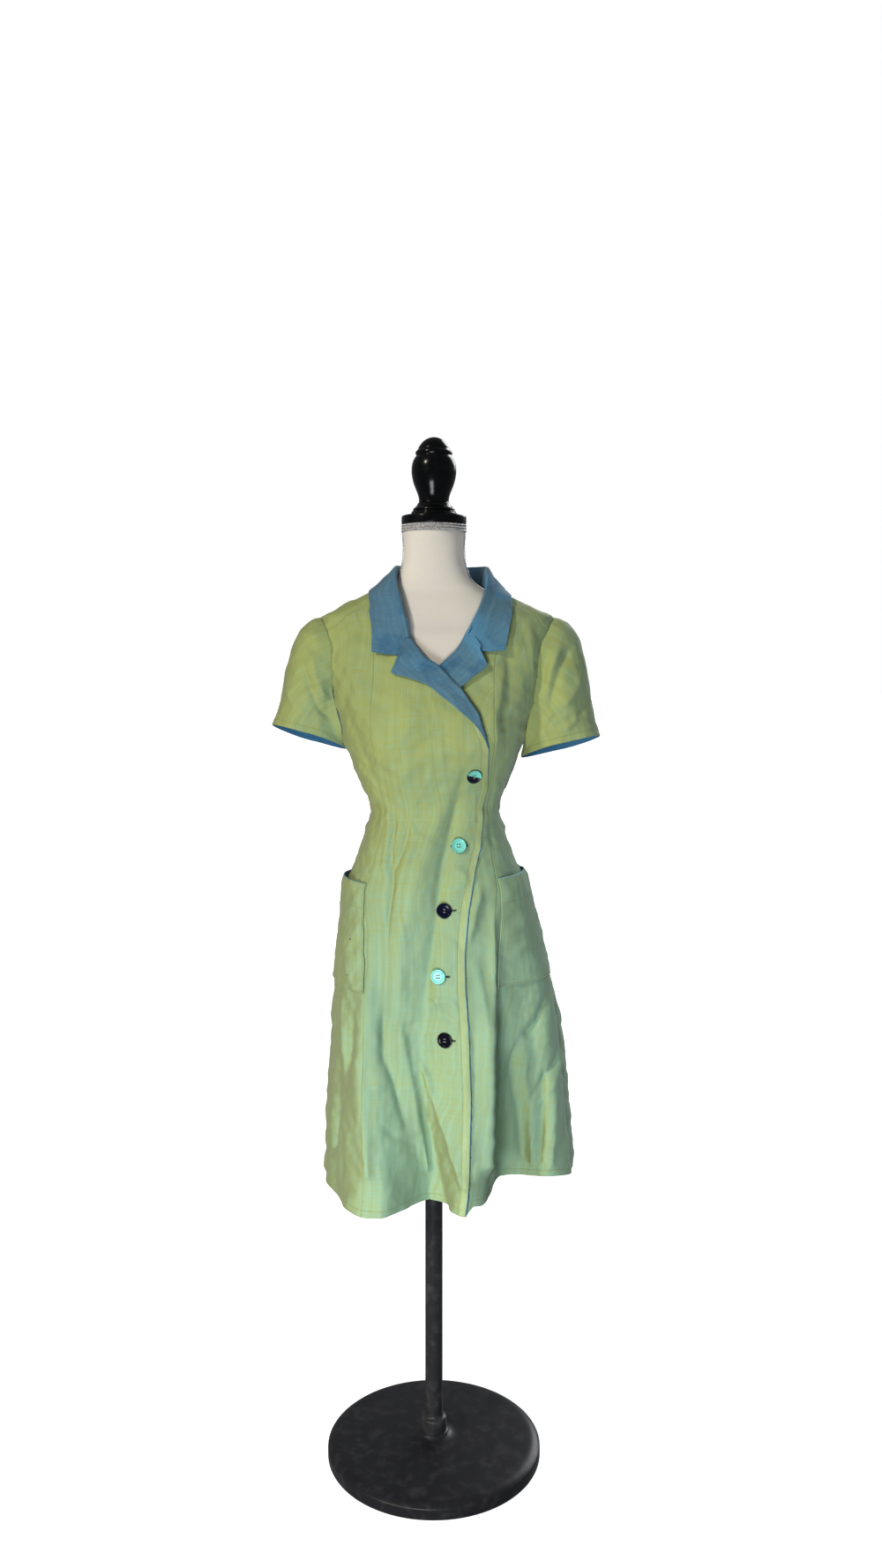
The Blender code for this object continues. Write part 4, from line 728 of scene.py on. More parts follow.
def linen(name, warp, weft, press=(), tint=None, band=0.0, specks=()):
    """Plain weave of slubby threads: warp along the second UV axis, weft along the first.

    press lists grooves at a distance from an edge, sunk and darkened as painted shade, tint gives two heights
    and how far the colour goes from warp to weft between them, band is a paler turning, specks are dark
    spots. The colour also leans and darkens with the way the surface faces: painted light and shade.
    """
    finish = Finish(name, warp, 0.86, Sheen_Weight=0.18, Sheen_Roughness=0.45, Specular_IOR_Level=0.25)
    u, v, _ = finish.split(finish.node("ShaderNodeUVMap", uv_map="cut"))
    place = finish.place()
    x, y, z = finish.split(place)
    warp_slub = finish.cloud(finish.spot(u * 760, v * 22), 1.0, 2.0)
    weft_slub = finish.cloud(finish.spot(u * 22, v * 760, 5.0), 1.0, 2.0)
    long_warp = finish.cloud(finish.spot(u * 170, v * 5, 9.0), 1.0, 1.0)
    long_weft = finish.cloud(finish.spot(u * 5, v * 170, 3.0), 1.0, 1.0)
    grain = finish.cloud(finish.spot(u * 1300, v * 1300), 1.0, 1.0)
    broad = finish.cloud(place, 6.5, 3.0)
    share = 0.5 + 1.3 * (weft_slub - warp_slub) + 0.3 * (long_weft - long_warp) + 0.9 * (grain - 0.5)
    share = share + 0.7 * (broad - 0.5)
    # The UV map turn holds the outward normal's x and y: surfaces facing +x lean to the weft colour and
    # surfaces facing -x to the warp colour, painted light and shade by facing.
    aside, ahead, _ = finish.split(finish.node("ShaderNodeUVMap", uv_map="turn"))
    share = share + 0.42 * aside
    if tint is not None:
        low, high, most = tint
        share = share + most * (1 - z.step(low, high)) - most * 0.5
    colour = finish.mix(share.held(), warp, weft)
    # Surfaces facing -x, but not toward the back, are darkened toward a deep olive: painted shade.
    facing_left_shade = (0 - aside).step(0.58, 1.02) * (0 - ahead).step(-0.70, -0.10)
    colour = finish.mix(facing_left_shade * 0.70, colour, (warp[0] * 0.52, warp[1] * 0.50, warp[2] * 0.50))
    shade = (broad * 0.6 + long_warp * 0.4).step(0.25, 0.75)
    colour = finish.mix(shade * 0.46, colour, tuple(c * 0.60 for c in warp))
    height = warp_slub * 0.35 + weft_slub * 0.35 + grain * 0.3
    far_u, far_v, _ = finish.split(finish.node("ShaderNodeUVMap", uv_map="far"))
    for side, distance, width in press:
        line = {"left": u, "right": far_u, "low": v, "high": far_v}[side]
        groove = 1 - abs(line - distance).step(0.0, width)
        height = height - groove * 2.2
        # The groove is darkened in colour too: painted shade.
        colour = finish.mix(groove * 0.30, colour, tuple(c * 0.45 for c in warp))
    if band:
        turned = 1 - far_u.step(band - 0.0006, band + 0.0006)
        colour = finish.mix(turned * 0.38, colour, (0.47, 0.53, 0.21))
    for at_x, at_z, size in specks:
        gap = ((x - at_x) * (x - at_x) + (z - at_z) * (z - at_z)) ** 0.5
        colour = finish.mix(1 - gap.step(size * 0.6, size), colour, (0.03, 0.05, 0.05))
    finish.set("Base Color", colour)
    finish.relief(height, 0.30, 0.0006)
    return finish


GREEN_WARP, GREEN_WEFT = (0.330, 0.375, 0.120), (0.275, 0.475, 0.345)
BLUE_WARP, BLUE_WEFT = (0.060, 0.155, 0.250), (0.120, 0.250, 0.335)
TINT = (0.76, 1.20, 0.60)
SEAM_LEFT, SEAM_RIGHT, SEAM_HIGH = ("left", 0.0, 0.0018), ("right", 0.0, 0.0018), ("high", 0.0, 0.0018)
HEM_LINE = ("low", 0.0092, 0.0008)
blue_inside = linen("linen_blue_inside", (0.035, 0.150, 0.300), (0.055, 0.190, 0.330))
# The edge turnings use a brighter copy of the blue inside: painted light on rims that lie in shade.
lit_blue_edge = linen("linen_lit_blue_edge", (0.200, 0.500, 0.740), (0.260, 0.560, 0.780))
princess_right, princess_left = seam(PRINCESS_RIGHT), seam(PRINCESS_LEFT)
front_arm_right, front_arm_left = armhole(ARM_FRONT_RIGHT, -1), armhole(ARM_FRONT_LEFT, 1)
back_arm_left = armhole(ARM_BACK, 1)


def green(name, press, **more):
    """The green outside of one piece of the dress."""
    return linen("linen_" + name, GREEN_WARP, GREEN_WEFT, press, tint=TINT, **more)


def panel(name, grid, node, finish, lift=0.0, **edges):
    """One panel of the dress in place of its CAD node."""
    points, out = dress(grid[..., 0], grid[..., 1], lift)
    item = wall(name, points, out, finish, **edges)
    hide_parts(node)
    return item


u = columns(132)
grid = patch(back_arm_left, back_arm_left * (-1, 1) + (360, 0), u)
back = panel("back_panel", grid, "back", green("back", [SEAM_LEFT, SEAM_RIGHT, HEM_LINE, SEAM_HIGH]))
u = columns(36)
grid = patch(front_arm_right, princess_right, u, spread(YOKE_RIGHT[2:], 1 - u))
side_right = panel("side_panel_right", grid, "side_front_right",
                   green("side_right", [SEAM_LEFT, SEAM_RIGHT, HEM_LINE]))
u = columns(52)
grid = patch(princess_left, front_arm_left, u, spread(YOKE_LEFT[2:], u))
side_left = panel("side_panel_left", grid, "side_front_left",
                  green("side_left", [SEAM_LEFT, SEAM_RIGHT, HEM_LINE]))


# Centre fronts
# The right front lies over the left one with its edge on a slant, topstitched 11 mm in, the blue
# side showing along it. Both fold out at the neck along the roll lines of the lapels.

TOPSTITCH = 0.0110
EDGE_RIGHT = np.array([
    # height, angle from the front
    (0.450, 9.7), (0.510, 10.7), (0.610, 11.4), (0.675, 10.8), (0.765, 11.1), (0.817, 12.1),
    (0.856, 13.7), (0.895, 16.4), (0.947, 24.3), (0.998, 35.4), (1.030, 39.8), (1.066, 40.8),
    (1.110, 34.6), (1.142, 31.2), (1.158, 28.4), (1.176, 25.0), (1.192, 22.9), (1.212, 17.5),
    (1.232, 12.4), (1.256, 5.1), (1.267, 1.6), (1.276, -2.9), (1.290, -7.0), (1.310, -11.1),
    (1.333, -12.8), (1.368, -20.8), (1.380, -28.0), (1.388, -38.0)])
EDGE_LEFT = np.array([
    (0.450, -11.0), (0.600, -10.5), (0.800, -11.0), (0.895, -13.0), (0.947, -16.0), (1.000, -22.0),
    (1.050, -24.0), (1.110, -18.0), (1.158, -15.0), (1.190, -14.0), (1.215, -12.5), (1.232, -9.5),
    (1.250, -4.0), (1.267, 2.1), (1.276, 5.0), (1.299, 11.3), (1.318, 14.0), (1.345, 19.0),
    (1.371, 34.0), (1.3855, 55.0)])


def over(angle, height):
    """Lift of the over front: it clears the cloth below it from 85 to 45 mm right of the middle on."""
    x = shell(angle, height)[..., 0]
    share = ramp(x, -0.085, -0.045) * (1 - ramp(height, 1.272, 1.304))
    low = 0.0034 + 0.0016 * (1 - ramp(height, 0.560, 0.760))
    return share * (low + 0.0020 * ramp(height, 1.150, 1.205))


edge_right, edge_left = seam(EDGE_RIGHT), seam(EDGE_LEFT)
edge_right[:, 0] -= ramp(edge_right[:, 1], 1.150, 1.190) * (1 - ramp(edge_right[:, 1], 1.300, 1.315))
edge_left[:, 0] += ramp(edge_left[:, 1], 1.232, 1.245) * (1 - ramp(edge_left[:, 1], 1.310, 1.320))
u = columns(34)
grid = patch(edge_left, princess_left, u, spread(YOKE_LEFT[:3], u))
front_left = panel("front_under", grid, "front_left", green("front_under", [SEAM_RIGHT, HEM_LINE]))
u = np.unique(np.r_[columns(84), 0.995])
grid = patch(princess_right, edge_right, u, spread(YOKE_RIGHT[:3], 1 - u))
front_right = panel("front_over", grid, "front_right",
                    green("front_over", [SEAM_LEFT, HEM_LINE, ("right", TOPSTITCH, 0.0010)], band=TOPSTITCH),
                    over(grid[..., 0], grid[..., 1]), shows=("right",), width=0.0028)


# Yoke
# One piece of the green linen over both shoulders and the upper back, its front seams forward
# of the shoulder, sewn to the collar along the neck and to the sleeves at the shoulder ends.

NECK_LINE = np.array([(-38, 1.388), (-60, 1.3975), (-90, 1.401), (-130, 1.403), (-180, 1.404),
                      (-230, 1.401), (-268, 1.393), (-290, 1.3885), (-305, 1.3855)])
top_right = ARM_TOP * (-1.0, 1)
top_right[0] = ARM_FRONT_RIGHT[-1]
top_left = ARM_TOP.copy()
top_left[0] = ARM_FRONT_LEFT[-1]
s = np.linspace(0, 1, 200)
SHOULDER, BACK_END, YOKE_END = 9, 23, 32  # rows of the outer line at the ends of the shoulders
row = s * YOKE_END
over_right = spread(top_right, np.clip(row / SHOULDER, 0, 1))
across_back = np.stack([-118 - 124 * (row - SHOULDER) / (BACK_END - SHOULDER), 0 * row + 1.265], -1)
over_left = spread(top_left, np.clip((YOKE_END - row) / (YOKE_END - BACK_END), 0, 1)) - (360, 0)
outer_line = np.where((row <= SHOULDER)[:, None], over_right,
                      np.where((row <= BACK_END)[:, None], across_back, over_left))
place = np.interp(row, (0, SHOULDER, BACK_END, YOKE_END), (-38, -122, -238, -305))
inner_line = np.stack([place, smooth_line(-place, -NECK_LINE[:, 0], NECK_LINE[:, 1])], -1)
PRINCESS_SHARE = 0.31  # of the way from the neck to the armhole
w = columns(36)
low, high = np.clip(w / PRINCESS_SHARE, 0, 1), np.clip((w - PRINCESS_SHARE) / (1 - PRINCESS_SHARE), 0, 1)
near = (w <= PRINCESS_SHARE)[:, None]
first = np.where(near, spread(YOKE_RIGHT[:3], low), spread(YOKE_RIGHT[2:], high))
last = np.where(near, spread(YOKE_LEFT[:3], low), spread(YOKE_LEFT[2:], high)) - (360, 0)
w, s = w[:, None, None], s[None, :, None]
grid = inner_line[None] * (1 - w) + outer_line[None] * w
grid = grid + (first[:, None] - (first[0] * (1 - w) + first[-1] * w)) * np.clip(1 - 5 * s, 0, 1)
grid = grid + (last[:, None] - (last[0] * (1 - w) + last[-1] * w)) * np.clip(5 * s - 4, 0, 1)
yoke = panel("yoke_cloth", grid, "yoke", green("yoke", [SEAM_LEFT, SEAM_RIGHT, SEAM_HIGH]))


# Sleeves
# Set-in short sleeves of the green linen, eased at the head and sewn into the armholes, their
# hems turned up and stitched 9.5 mm above the edge, the blue inside showing under them.

CUFF_STITCH, SLEEVE_RISE = 0.0095, 1.8
SLEEVE_HEMS = {  # centre x, y, z, half width, half depth, rise to the arm side, rise to the front
    "right": (-0.2005, 0.002, 1.1500, 0.0595, 0.0560, 0.0185, 0.0105),
    "left": (0.2045, 0.002, 1.1345, 0.0640, 0.0570, 0.0170, 0.0105)}
SLEEVE_FOLDS = {
    # points (x, z) as seen from the front, width and rise in millimetres, then the same from behind
    "right": ([([(-214, 1278), (-202, 1235), (-181, 1192), (-155, 1178)], 7, -2.6),
               ([(-196, 1290), (-188, 1240), (-166, 1204)], 9, 2.2),
               ([(-236, 1230), (-222, 1200), (-196, 1180)], 8, 1.6),
               ([(-180, 1320), (-172, 1290), (-166, 1262)], 6, -1.0),
               ([(-228, 1180), (-205, 1168), (-180, 1166)], 7, -1.2)],
              [([(-210, 1280), (-196, 1230), (-170, 1190)], 9, -2.0),
               ([(-230, 1220), (-206, 1190), (-180, 1176)], 8, 1.8)]),
    "left": ([([(226, 1300), (208, 1270), (194, 1228), (186, 1190)], 9, -2.8),
              ([(244, 1262), (226, 1222), (206, 1196)], 9, 2.4),
              ([(206, 1305), (190, 1262), (182, 1222)], 9, 2.4),
              ([(184, 1300), (176, 1256), (172, 1214)], 8, -2.0),
              ([(254, 1212), (232, 1184), (212, 1176)], 7, -2.0),
              ([(238, 1196), (216, 1166), (196, 1160)], 7, 1.8),
              ([(200, 1190), (186, 1170), (178, 1160)], 5, -1.2)],
             [([(218, 1282), (200, 1234), (176, 1192)], 9, 2.0),
              ([(236, 1224), (210, 1192), (184, 1176)], 8, -1.8)])}


def stand_off(points, room, where):
    """Points under the arm moved out along the shell's normal until they clear it by room."""
    angle = np.linspace(-180, 180, 361)
    height = np.clip(points[..., 2], HEM_HEIGHT, 1.49)
    rings = shell(angle, height[..., None])
    best = np.linalg.norm(rings - points[..., None, :], axis=-1).argmin(-1)
    near = np.take_along_axis(rings, best[..., None, None], -2)[..., 0, :]
    normal = outward(angle[best], height)
    depth = ((points - near) * normal).sum(-1, keepdims=True)
    return points + np.where(where, np.clip(room - depth, 0, None), 0) * normal


def sleeve(word, side, front_arm, over_arm, back_arm):
    """Threads from the armhole to the tilted hem: cubic curves that leave outward and arrive downward."""
    one, two, three = np.linspace(0, 1, 56)[:-1], np.linspace(0, 1, 58)[:-1], np.linspace(1, 0, 52)[:-1]
    loop = np.vstack([spread(front_arm, one), spread(over_arm, two), spread(back_arm, three)])
    number = np.r_[one * 10, 10 + two * 9, 19 + (1 - three) * 10]
    start, skin = shell(loop[:, 0], loop[:, 1]), outward(loop[:, 0], loop[:, 1])
    x, y, z, half, deep, rise, lean = SLEEVE_HEMS[word]
    middle = (start.max(0) + start.min(0)) / 2
    turn = np.unwrap(np.arctan2(start[:, 2] - middle[2], -(start[:, 1] - middle[1]) * 1.45))
    even = 2 * np.pi * number / 29 - np.pi / 2
    phi = 0.5 * (turn + even[0] - turn[0]) + 0.5 * even
    outer_side, front_side = np.sin(phi), np.cos(phi)
    flat = np.sign(outer_side) * np.abs(outer_side) ** 0.9
    tilt = rise * outer_side + lean * front_side
    end = np.stack([x + side * half * flat, y - deep * front_side, z + tilt], -1)
    top, under = np.clip(np.sin(phi), 0, 1), np.clip(-np.sin(phi), 0, 1)[:, None] ** 2
    leave = np.array([side, 0, 0]) * (0.55 + 0.4 * top)[:, None] + skin * 0.55 + (0, 0, -0.50)
    leave = unit(leave * (1 - under) + np.array([side * 0.15, 0, -1.0]) * under)
    arrive = unit(np.array([side * 0.40, 0, -0.92]) * (1 - under) + np.array([side * 0.05, 0, -1.0]) * under)
    reach = np.linalg.norm(end - start, axis=1, keepdims=True)
    v = np.unique(np.r_[np.linspace(0, 1, 48), 0.006, 0.93, 0.99])[:, None, None]
    first, second = start + leave * reach * 0.36, end - arrive * reach * 0.36
    outer = start * (1 - v) ** 3 + 3 * first * v * (1 - v) ** 2 + 3 * second * v * v * (1 - v) + end * v**3
    outer[1:] = stand_off(outer[1:], 0.0010, under[None] > 0.01)
    normal = unit(np.cross(np.roll(outer, -1, 1) - np.roll(outer, 1, 1), np.gradient(outer, axis=0)))
    normal = normal * np.sign((normal * (outer - outer.mean(1, keepdims=True))).sum())
    flat_points, n = outer.reshape(-1, 3), normal.reshape(-1, 3)
    front, behind = SLEEVE_FOLDS[word]
    move = folds_in(seen(flat_points), front) * ramp(-n[:, 1], 0.0, 0.35)
    move += folds_in(flat_points[:, [0, 2]], behind) * ramp(n[:, 1], 0.0, 0.35)
    move = SLEEVE_RISE * move + crumple(flat_points)
    easy = ramp(v, 0.0, 0.12) * (1 - 0.85 * under[None])
    head = 0.0016 * ramp(v, 0.0, 0.05) * (1 - ramp(v, 0.10, 0.35)) * top[None, :, None]
    outer = outer + normal * (move.reshape(*outer.shape[:2], 1) * easy + head)
    name = "sleeve_cloth_" + word
    finish = green(name, [("low", 0.0, 0.0020), ("high", CUFF_STITCH, 0.0010)])
    item = wall(name, outer, normal, finish, ring=True)
    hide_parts("sleeve_" + word)
    return item, outer, normal


sleeve_right, *cuff_right = sleeve("right", -1, ARM_FRONT_RIGHT, top_right, ARM_BACK * (-1.0, 1))
sleeve_left, *cuff_left = sleeve("left", 1, ARM_FRONT_LEFT, top_left, ARM_BACK)


# Lapels
# The turned-out tops of both fronts in blue linen: they roll over at the fold and lie on the
# chest, the right one over the left one, their edges standing off a little.

LAPEL_RIGHT = np.array([  # angle and height on the roll line, angle and height on the outer edge
    (-11.6, 1.3140, -15.6, 1.2840), (-10.3, 1.3085, -15.2, 1.2780), (-8.2, 1.2980, -16.8, 1.2660),
    (-6.0, 1.2880, -18.8, 1.2531),
    (-2.9, 1.2760, -10.5, 1.2440), (1.6, 1.2670, -2.8, 1.2345), (7.0, 1.2490, 2.4, 1.2212),
    (12.4, 1.2315, 8.6, 1.2060), (17.5, 1.2115, 14.3, 1.1920), (22.9, 1.1915, 19.6, 1.1810),
    (26.0, 1.1740, 23.6, 1.1700), (29.0, 1.1570, 27.6, 1.1560), (31.4, 1.1420, 30.9, 1.1430)])
LAPEL_LEFT = np.array([
    (13.4, 1.3225, 19.8, 1.2945), (12.4, 1.3160, 19.6, 1.2890), (10.9, 1.3030, 21.6, 1.2780),
    (9.1, 1.2915, 23.9, 1.2640),
    (5.0, 1.2760, 18.2, 1.2490), (2.1, 1.2670, 12.4, 1.2330), (-2.0, 1.2550, 6.0, 1.2190),
    (-7.0, 1.2400, -1.0, 1.2100)])
EDGE_STITCH, TURN, SUNK = 0.0042, 0.0042, 0.0012  # stitching from the edge, width of the roll, its start


def blue(name, press):
    """The blue side of the linen, deeper and paler in soft patches at random."""
    finish = linen("linen_" + name, BLUE_WARP, BLUE_WEFT, press)
    cloth = Wire(finish, finish.shader.inputs["Base Color"].links[0].from_socket)
    deep = finish.cloud(finish.place(), 17.0, 3.0, 0.6)
    pale = finish.cloud(finish.place(), 9.0, 2.0)
    cloth = finish.mix(deep.step(0.52, 0.68) * 0.55, cloth, (0.022, 0.105, 0.215))
    finish.set("Base Color", finish.mix(pale.step(0.46, 0.62) * 0.50, cloth, (0.075, 0.270, 0.470)))
    return finish


def lapel(word, table, edge_lift):
    """Rows straight across from roll to edge; lift follows a quarter circle over the first 4 mm."""
    row = np.linspace(0, len(table) - 1, 150)
    col = [smooth_line(row, np.arange(len(table)), table[:, k]) for k in range(4)]
    u = np.unique(np.r_[np.linspace(0, 0.16, 12), np.linspace(0.16, 1, 34), 0.985])[None, :]
    angle = col[0][:, None] * (1 - u) + col[2][:, None] * u
    height = col[1][:, None] * (1 - u) + col[3][:, None] * u
    gone = gone_along(shell(angle, height), 1)
    share = row[:, None] / row.max()
    bend = np.sqrt(1 - (1 - np.clip(gone / TURN, 0, 1)) ** 2)
    below = over(angle, height) if word == "right" else 0.0
    full = below + 0.0029 + 0.0012 * (1 - share) + edge_lift * u**2 * (1 - share) ** 0.6
    lift = below - SUNK + bend * (full - below + SUNK)
    points, out = dress(angle, height, lift)
    name = "lapel_cloth_" + word
    finish = blue(name, [("right", EDGE_STITCH, 0.0009), ("low", 0.0, 0.0014)])
    item = wall(name, points, out, finish, thick=0.0014)
    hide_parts("lapel_" + word)
    return item, points, out


lapel_left, *revers_left = lapel("left", LAPEL_LEFT, 0.0065)
lapel_right, *revers_right = lapel("right", LAPEL_RIGHT, 0.0050)


# Collar
# One folded band of blue linen: it stands up from the neck seam, rolls over and falls to a
# stitched edge; its front ends meet the lapels at the gorge seams.

COLLAR = np.array([
    # neck seam angle and height, roll x, y, z, outer edge angle and height, share lying on the dress
    (-11.1, 1.3105, -0.0385, -0.0885, 1.3105, -28.4, 1.2850, 1.0),
    (-12.3, 1.3250, -0.0405, -0.0815, 1.3250, -28.4, 1.3127, 1.0),
    (-14.0, 1.3400, -0.0440, -0.0760, 1.3420, -29.5, 1.3340, 1.0),
    (-20.0, 1.3670, -0.0510, -0.0660, 1.3660, -34.6, 1.3530, 0.9),
    (-32.0, 1.3850, -0.0565, -0.0530, 1.3880, -45.9, 1.3680, 0.7),
    (-60.0, 1.3975, -0.0590, -0.0330, 1.4080, -68.0, 1.3800, 0.4),
    (-90.0, 1.4010, -0.0590, -0.0010, 1.4225, -95.0, 1.3840, 0.1),
    (-125.0, 1.4030, -0.0500, 0.0360, 1.4240, -128.0, 1.3760, 0.0),
    (-155.0, 1.4040, -0.0270, 0.0590, 1.4240, -156.0, 1.3620, 0.0),
    (-180.0, 1.4040, 0.0040, 0.0660, 1.4240, -180.0, 1.3570, 0.0),
    (-205.0, 1.4030, 0.0350, 0.0590, 1.4240, -204.0, 1.3610, 0.0),
    (-235.0, 1.4000, 0.0650, 0.0380, 1.4235, -232.0, 1.3700, 0.0),
    (-268.0, 1.3930, 0.0850, 0.0020, 1.4225, -265.0, 1.3745, 0.1),
    (-290.0, 1.3880, 0.0840, -0.0270, 1.4080, -290.5, 1.3722, 0.4),
    (-315.0, 1.3790, 0.0800, -0.0500, 1.3840, -306.0, 1.3640, 0.7),
    (-334.0, 1.3610, 0.0730, -0.0640, 1.3620, -320.3, 1.3521, 0.9),
    (-342.0, 1.3420, 0.0640, -0.0750, 1.3420, -326.6, 1.3300, 1.0),
    (-345.0, 1.3270, 0.0560, -0.0820, 1.3270, -327.2, 1.3080, 1.0),
    (-346.0, 1.3180, 0.0520, -0.0850, 1.3180, -327.8, 1.2875, 1.0)])
NOTCH_DROP = (0.0215, 0.0170, 0.0108, 0.0045)


def catmull(rows, t):
    """Catmull-Rom curve through an array of points along axis 1, at parameters t."""
    i = np.clip(np.floor(t).astype(int), 0, rows.shape[1] - 2)
    s = (t - i)[None, :, None]
    p0, p1 = rows[:, np.clip(i - 1, 0, None)], rows[:, i]
    p2, p3 = rows[:, i + 1], rows[:, np.clip(i + 2, None, rows.shape[1] - 1)]
    bend, twist = 2 * p0 - 5 * p1 + 4 * p2 - p3, 3 * p1 - p0 - 3 * p2 + p3
    return 0.5 * (2 * p1 + (p2 - p0) * s + bend * s**2 + twist * s**3)


def evened(grid, reach):
    """Rows averaged with their neighbours under a Hann window, both ends held."""
    window = np.hanning(2 * reach + 3)[1:-1]
    wide = np.pad(grid, ((reach, reach), (0, 0), (0, 0)), mode="reflect", reflect_type="odd")
    return sum(w * wide[k:k + len(grid)] for k, w in enumerate(window)) / window.sum()


station = np.unique(np.r_[np.linspace(0, len(COLLAR) - 1, 230), 0.03, len(COLLAR) - 1.03])
col = [smooth_line(station, np.arange(len(COLLAR)), COLLAR[:, k]) for k in range(8)]
neck_seam = shell(col[0], col[1]) + outward(col[0], col[1]) * 0.0016
roll = np.stack(col[2:5], -1)
ends = np.minimum(station, len(COLLAR) - 1 - station)
leaf = (1 - ramp(ends, 1.6, 4.2))[:, None]
edge = shell(col[5], col[6]) + outward(col[5], col[6]) * (0.0034 + 0.0046 * leaf)
flat = col[7][:, None]
rise = roll - neck_seam
rise_unit = unit(rise)
across = edge - roll
across = unit(across - rise_unit * (across * rise_unit).sum(1, keepdims=True))
gorge = np.clip(1 - ends / 2.2, 0, 1)
profile = [neck_seam, neck_seam + rise * 0.5, roll, roll + across * 0.0024 + rise_unit * 0.0014,
           roll + across * 0.0048]
for share, drop in zip((0.2, 0.42, 0.64, 0.84), NOTCH_DROP):
    straight = profile[4] + (edge - profile[4]) * share
    angle = col[0] + (col[5] - col[0]) * (share * 0.92 + 0.08)
    height = col[1] + (col[6] - col[1]) * (share * 0.92 + 0.08) - gorge * drop
    lift = 0.0038 + 0.0035 * (1 - share) ** 2 + 0.0040 * leaf[:, 0] * share**2
    lying = shell(angle, height) + outward(angle, height) * lift[:, None]
    profile.append(straight * (1 - flat) + lying * flat)
profile.append(edge)
t = np.unique(np.r_[np.linspace(0, 1.6, 10), np.linspace(1.6, 4.6, 22), np.linspace(4.6, 9, 34), 8.97])
fold = evened(catmull(np.stack(profile, 1), t), 9)
normal = unit(np.cross(np.gradient(fold, axis=1), np.gradient(fold, axis=0)))
if normal[len(fold) // 2, -1] @ np.array([0, 1.0, 0.6]) < 0:
    normal = -normal
ripple = crumple(fold.reshape(-1, 3)).reshape(fold.shape[:2]) * 0.6 * ramp(t, 4.5, 6.0)[None]
fold = fold + normal * (0.0006 + ripple)[..., None]
finish = blue("collar", [("right", EDGE_STITCH, 0.0009), ("low", 0.0, 0.0012), ("high", 0.0, 0.0012)])
collar = wall("collar_cloth", fold, normal, finish, thick=0.0015)
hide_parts("collar")


# Patch pockets
# Each is a piece of the green linen from the princess seam round over the side seam; the mouth
# is hemmed 38 mm deep and gapes a little, with its blue inside showing along the top.

POCKET_HEM = 0.0380
POCKETS = {  # angle of the front edge at the top and bottom, angle of the back edge, top, bottom, gape
    "right": (-46.2, -41.2, -118.0, 0.9270, 0.7680, 0.0058),
    "left": (41.2, 27.0, 118.0, 0.9360, 0.7720, 0.0034)}
SPECKS = {"right": [(-0.1297, 0.8421, 0.0016), (-0.1339, 0.7883, 0.0012)], "left": []}  # x, z, radius


def pocket(word):
    """Moved out from the dress by cloth and ease; the mouth opens as a sine of the way across."""
    front_top, front_low, back_edge, high, low, gape = POCKETS[word]
    v = np.unique(np.r_[np.linspace(0, 1, 46), 0.008, 0.992])[:, None]
    u = np.unique(np.r_[np.linspace(0, 1, 78), 0.004, 0.996])[None, :]
    angle = (front_low + (front_top - front_low) * v) * (1 - u) + back_edge * u
    height = low + (high - low) * v + 0 * u
    mouth = ramp(v, 0.62, 1.0) ** 1.5 * np.sin(np.pi * np.clip(u * 1.02, 0, 1)) ** 0.8
    edge = np.minimum(np.minimum(u, 1 - u) * 0.19, v * 0.16)
    lift = 0.0022 + 0.0008 * ramp(edge, 0.0, 0.004) + 0.0012 * (1 - u) ** 2 * (1 - v) + gape * mouth
    lift = lift - 0.0006 * np.exp(-((1 - v) * 0.16 - POCKET_HEM) ** 2 / 0.002**2)
    points, out = dress(angle, height, lift)
    name = "pocket_cloth_" + word
    finish = green(name, [("left", 0.0020, 0.0009), ("low", 0.0022, 0.0009), ("high", POCKET_HEM, 0.0011)],
                   specks=SPECKS[word])
    item = wall(name, points, out, finish, thick=0.0015, shows=("high",), width=0.0008)
    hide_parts("pocket_" + word)
    return item, points, out


pocket_right, *mouth_right = pocket("right")
pocket_left, *mouth_left = pocket("left")


# Topstitching
# Straight machine stitches of polyester thread, 2.8 mm long: along the front edge, the skirt
# and sleeve hems, the edges of the collar and lapels, and the pockets and their hems.

STITCH_HEIGHT = 0.4592


def thread_finish(name, colour):
    """Twisted thread: one colour with darker turns."""
    finish = Finish(name, colour, 0.6, Sheen_Weight=0.2)
    twist = finish.cloud(finish.place(), 2600.0, 1.0)
    finish.set("Base Color", finish.mix(twist.step(0.35, 0.65), tuple(c * 0.7 for c in colour), colour))
    return finish


def stitches(name, lines, finish, pitch=0.0034, length=0.0028, radius=0.00030):
    """Arched six-sided threads: centre s_k + t length along each line, raised by r sin(pi t)."""
    t = np.linspace(0, 1, 5)
    a = np.linspace(0, 2 * np.pi, 6, endpoint=False)
    every = []
    for line, out in lines:
        gone = np.r_[0, np.cumsum(np.linalg.norm(np.diff(line, axis=0), axis=1))]
        count = max(1, int(gone[-1] / pitch))
        want = np.arange(count)[:, None] * pitch + pitch * 0.3 + t * length
        centre = np.stack([np.interp(want, gone, line[:, k]) for k in range(3)], -1)
        up = unit(np.stack([np.interp(want, gone, out[:, k]) for k in range(3)], -1))
        along = unit(np.gradient(centre, axis=1))
        side = unit(np.cross(along, up))
        size = radius * np.array([0.55, 1, 1.08, 1, 0.55])[None, :, None, None]
        centre = centre + up * (radius * (np.sin(np.pi * t) * 1.1 - 0.35))[None, :, None]
        turn = np.cos(a)[:, None] * side[:, :, None] + np.sin(a)[:, None] * up[:, :, None]
        every.append((centre[:, :, None] + size * turn).reshape(-1, 30, 3))
    points = np.concatenate(every)
    caps = np.array([[0, 1, 2, 3], [0, 3, 4, 5], [24, 27, 26, 25], [24, 29, 28, 27]])
    faces = np.r_[quads(shut(np.arange(30).reshape(5, 6)))[:, ::-1], caps]
    faces = faces[None] + 30 * np.arange(len(points))[:, None, None]
    return piece(name, points.reshape(-1, 3), faces.reshape(-1, 4), [finish])


